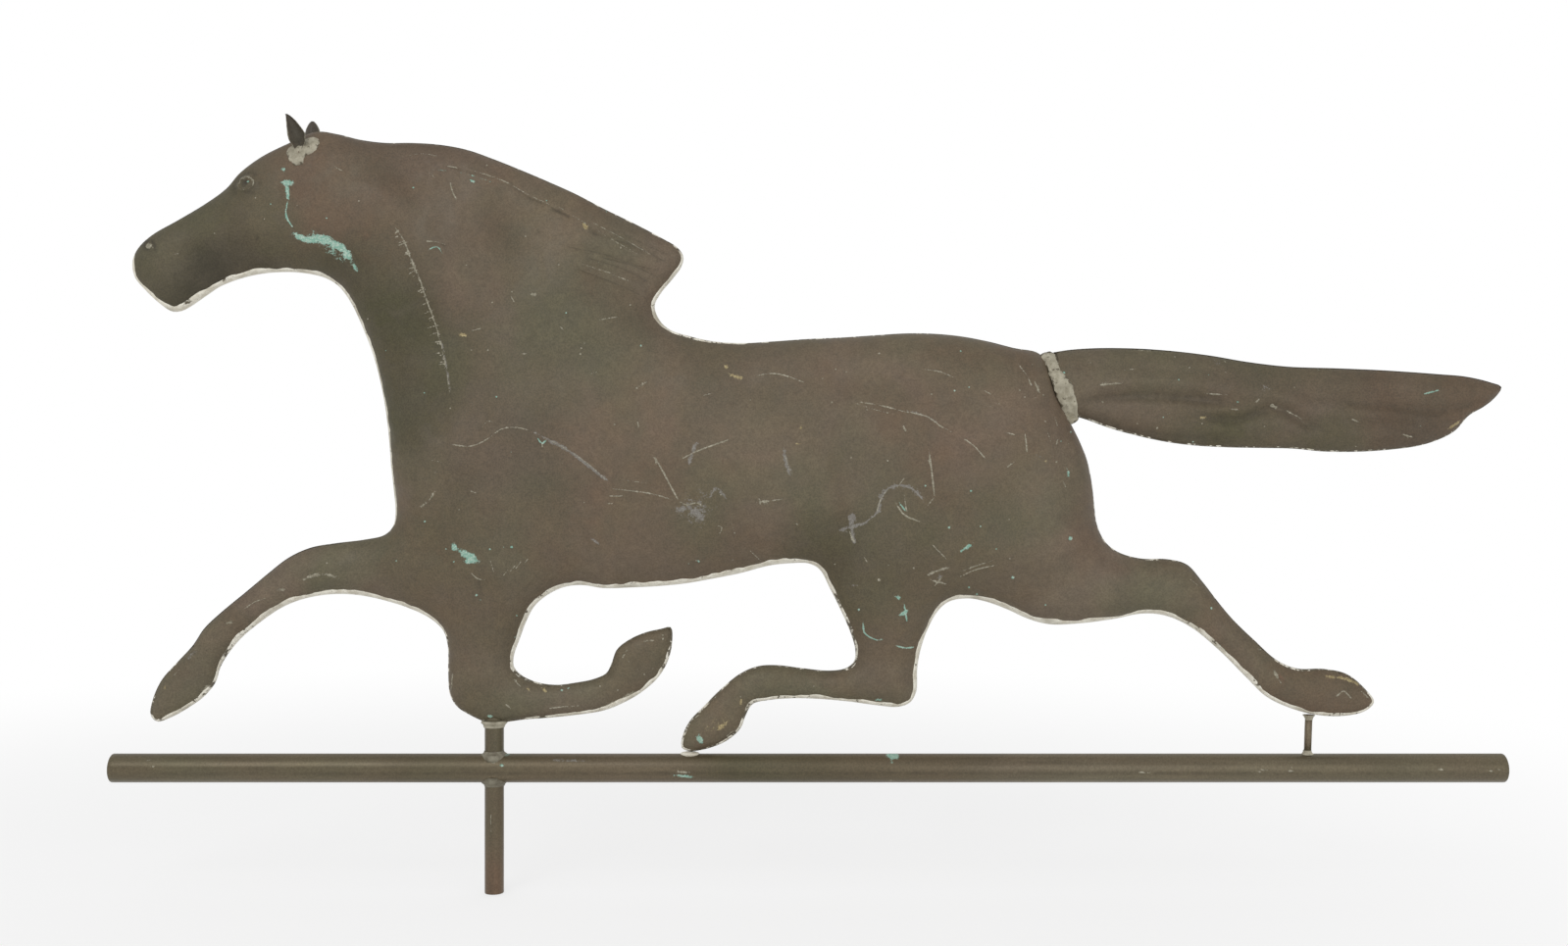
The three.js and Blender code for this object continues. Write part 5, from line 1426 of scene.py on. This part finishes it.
def make_collars():
    """Solder round the post above and below the bar and where it enters the knee."""
    inner, outer = POST_RADIUS + 0.1, POST_RADIUS + 1.9
    above = collar_profile(inner, outer, BAR_HIGH[2], BAR_HIGH[2] + COLLAR_RISE, COLLAR_SUNK)
    low, high = (corner[2] for corner in node_box("knee_solder"))
    knee = mirrored_profile(collar_profile(inner, outer, low, high, KNEE_SUNK), (low + high) / 2)
    for seed, (name, profile, look, node) in enumerate((
            ("bar_fillet_above", above, COLLAR, "bar_solder_above"),
            ("bar_fillet_below", mirrored_profile(above, BASE), COLLAR, "bar_solder_below"),
            ("knee_collar", knee, PATCH, "knee_solder"))):
        dress(turned_piece(name, profile, 72, look, wobble=0.55, seed=seed + 1), node)


def reshape(piece, change):
    """Passes the piece's points, in millimetres, through a function."""
    piece.data.vertices.foreach_set("co", (change(points_of(piece)) * MM).ravel())
    piece.data.update()


def make_strut():
    """The leaning strut tube with the solder at its head and foot."""
    low, high = node_box("hoof_strut")
    lean = (high[0] - low[0] - 2 * STRUT_RADIUS) / (high[2] - low[2])
    middle = high[0] - STRUT_RADIUS
    profile = [(STRUT_RADIUS, low[2] - STRUT_SUNK), (STRUT_RADIUS, high[2])]
    strut = turned_piece("hoof_strut", profile, 40, TUBE, closed=False)
    reshape(strut, lambda p: p + [[middle + (z - high[2]) * lean, 0, 0] for z in p[:, 2]])
    dress(strut, "hoof_strut")
    for part in ("head", "foot"):
        node = f"strut_{part}_solder"
        low, high = node_box(node)
        middle = (low + high) / 2
        rows = collar_profile(STRUT_RADIUS - 0.15, STRUT_RADIUS + 1.3, low[2], high[2])
        if part == "head":
            rows = mirrored_profile(rows, middle[2])
        piece = turned_piece(f"strut_{part}_fillet", rows, 48, PATCH, centre=(middle[0], 0, 0),
                             wobble=0.4, seed=5)
        dress(piece, node)


def make_pad():
    """The drop of solder between the bar and the bent hind hoof."""
    low, high = node_box("hoof_pad_solder")
    low[2] -= PAD_SUNK
    rows = [(math.sin(a), -math.cos(a)) for a in np.linspace(0.02, math.pi / 2, 12)]
    pad = turned_piece("hoof_pad", rows + [(1.0, 1.0), (0.02, 1.0)], 48, SEAM, closed=False)
    reshape(pad, lambda p: (low + high) / 2 + p * (high - low) / 2 * (1, 1, -1))
    dress(pad, "hoof_pad_solder")


make_tubes()
make_collars()
make_strut()
make_pad()


# Solder skins that lie on the sheets

SKIN_SUNK = 1.2
SKIN_ROWS = (0.5, 1.2)


def joint_height(points):
    """The higher of rump and tail, carried on between them."""
    rump = np.where(is_inside(points, BODY_LOOP), shaped_body(points), 0)
    tail = np.where(is_inside(points, TAIL_LOOP), shaped_tail(points), 0)
    bridge = rolled(points, JOINT_EDGE, False, TAIL_DEPTHS)
    return np.maximum.reduce([rump, tail, bridge])


def solder_skin(name, outline, height_of, proud, step, grow, side):
    """A closed patch of solder inside an outline, domed and lumpy over the surface below it."""
    loop = trace(place(outline), step, True)
    loop = loop + inward_normals(loop) * (0.7 * noise_at(loop, 3, 6) - grow)[:, None]
    flat, faces = plan_mesh(loop, len(loop), step, SKIN_ROWS)
    gap = nearest_distance(flat, loop, True)[0]
    lumps = 0.8 + 0.9 * noise_at(flat, 4, 7) + 0.7 * noise_at(flat, 1.8, 8)
    base = height_of(flat)
    top = base - 0.4 + (proud + 0.4) * smooth(gap, 0, 1.8) * lumps
    dark = 0.15 + 0.5 * (1 - smooth(gap, 0, 1.6)) + 0.4 * noise_at(flat, 3, 13)
    paint = solder_paint(np.clip(dark, 0, 1))
    piece = layered(name, (flat, faces), len(loop), (top, base - SKIN_SUNK), side, PATCH, paint)
    dress(piece, name if name.endswith("solder") else name + "_solder")


# Ears

LEAF_ROWS = 19
LEAF_COLUMNS = 13
LEAF_SHEET = 0.9
LEAF_HOLLOW = 4.4
# Up the leaf, and where its left and right edges are, as shares of its solid's box
NEAR_EAR = ((-.08, .6, .74), (.02, .4, .82), (.2, .21, 1.05), (.42, .16, 1.1), (.6, .13, .88),
            (.8, .1, .6), (.93, .09, .36), (1, .05, .16))
FAR_EAR = ((0, .1, .6), (.4, -.12, .7), (.7, -.14, .72), (.9, -.05, .66), (1.05, .08, .52),
           (1.13, .22, .38))


def ear(name, side, edges):
    """A folded copper leaf that stands on the head, with its middle hollowed towards the seam."""
    low, high = node_box(name)
    edges = np.array(edges)
    rise = np.linspace(edges[0, 0], edges[-1, 0], LEAF_ROWS)[:, None]
    across = np.linspace(-1, 1, LEAF_COLUMNS)[None]
    left, right = (np.interp(rise, edges[:, 0], edges[:, column]) for column in (1, 2))
    x = low[0] + (high[0] - low[0]) * ((left + right) / 2 + across * (right - left) / 2)
    z = low[2] + (high[2] - low[2]) * rise + 0 * across
    flat = np.stack([x.ravel(), z.ravel()], 1)
    foot = flat[:LEAF_COLUMNS]
    seat = np.where(is_inside(foot, BODY_LOOP), shaped_body(foot), 0) - LEAF_SHEET
    outside = max(-low[1], high[1]) - LEAF_SHEET
    lifted = seat + (outside - seat) * smooth(rise, 0, 0.4)
    inner = (lifted - LEAF_HOLLOW * (right - left) * (1 - across ** 2)).ravel()
    count = len(flat)
    grid = grid_faces(LEAF_ROWS, LEAF_COLUMNS, False)
    faces = [face[::-1] for face in grid] + [tuple(k + count for k in face) for face in grid]
    last = count - LEAF_COLUMNS
    rim = [*range(LEAF_COLUMNS), *range(2 * LEAF_COLUMNS - 1, last, LEAF_COLUMNS),
           *range(count - 1, last - 1, -1), *range(last - LEAF_COLUMNS, 0, -LEAF_COLUMNS)]
    faces += [(a, b, b + count, a + count) for a, b in zip(rim, rim[1:] + rim[:1])]
    if side > 0:
        faces = [face[::-1] for face in faces]
    turn = np.tile(np.abs(across), (LEAF_ROWS, 1)).ravel()
    paint = {key: np.zeros(2 * count) for key in KEYS}
    paint["pale"] = np.tile(0.45 * turn ** 12, 2)
    # Darker towards the middle: painted shade in the leaf's hollow
    paint["dark"] = np.tile(0.5 * (1 - turn), 2)
    layers = [in_space(flat, side * inner), in_space(flat, side * (inner + LEAF_SHEET))]
    dress(make_object(name, np.vstack(layers), faces, EAR, paint), name)


for side, half, edges in ((-1, "near", NEAR_EAR), (1, "far", FAR_EAR)):
    solder_skin(half + "_ear_solder", EAR_SOLDER, shaped_body, 1.2, 1.1, 1.4, side)
    solder_skin(half + "_tail_joint", TAIL_SOLDER, joint_height, 1.3, 1.2, 0, side)
    ear(half + "_ear", side, edges)

# The hidden spindle and pivot cap keep their solids
for node, look in (("spindle", STEEL), ("pivot_cap", BRASS)):
    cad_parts[node].data.materials.clear()
    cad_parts[node].data.materials.append(look)


# Stage and lights

FLOOR_REACH = 6000
FLOOR_HEIGHT = -0.5
FADE_START, FADE_END = 0.35, 1.3 # metres from the middle, between which the floor turns white
FADE_LOW = 0.7
WORLD_STRENGTH = 0.64


def make_floor():
    """A pale floor that keeps the shadow and fades to white."""
    look = material_look("floor")
    pale = look.filled(look.node("ShaderNodeBsdfDiffuse"), Color=(0.9, 0.9, 0.9, 1))
    length = look.node("ShaderNodeVectorMath", operation="LENGTH")
    look.link(look.space, length.inputs[0])
    fade = look.span(length.outputs["Value"], FADE_START, FADE_END, FADE_LOW, 1)
    share = look.math("MULTIPLY", look.seen_by("Camera", "Glossy", "Transmission"), fade)
    look.surface("Material Output", share, pale, look.glow("ShaderNodeEmission", 1))
    corners = [(x * FLOOR_REACH, y * FLOOR_REACH, FLOOR_HEIGHT)
               for x, y in ((-1, -1), (1, -1), (1, 1), (-1, 1))]
    make_object("floor", corners, [(0, 1, 2, 3)], look.owner)


def make_world():
    """Even light from all round, seen as white."""
    look = Look(bpy.data.worlds.new("soft_white"))
    look.surface("World Output", look.seen_by("Camera", "Transmission"),
                 look.glow("ShaderNodeBackground", WORLD_STRENGTH), look.glow("ShaderNodeBackground", 1))
    bpy.context.scene.world = look.owner


def add_lamp(name, place_m, aim_m, size_m, watts):
    lamp = bpy.data.lights.new(name, "AREA")
    lamp.energy, lamp.size = watts, size_m
    holder = bpy.data.objects.new(name, lamp)
    bpy.context.scene.collection.objects.link(holder)
    holder.location = place_m
    holder.rotation_euler = (Vector(aim_m) - Vector(place_m)).to_track_quat("-Z", "Y").to_euler()


make_floor()
make_world()
add_lamp("key", place_m=(-0.7, -1.9, 1.7), aim_m=(0.2, 0, 0.25), size_m=1.1, watts=12)
add_lamp("fill", place_m=(0.9, -1.8, 0.42), aim_m=(0.2, 0, 0.2), size_m=1.3, watts=4.2)
bpy.context.scene.view_settings.view_transform = "Standard"
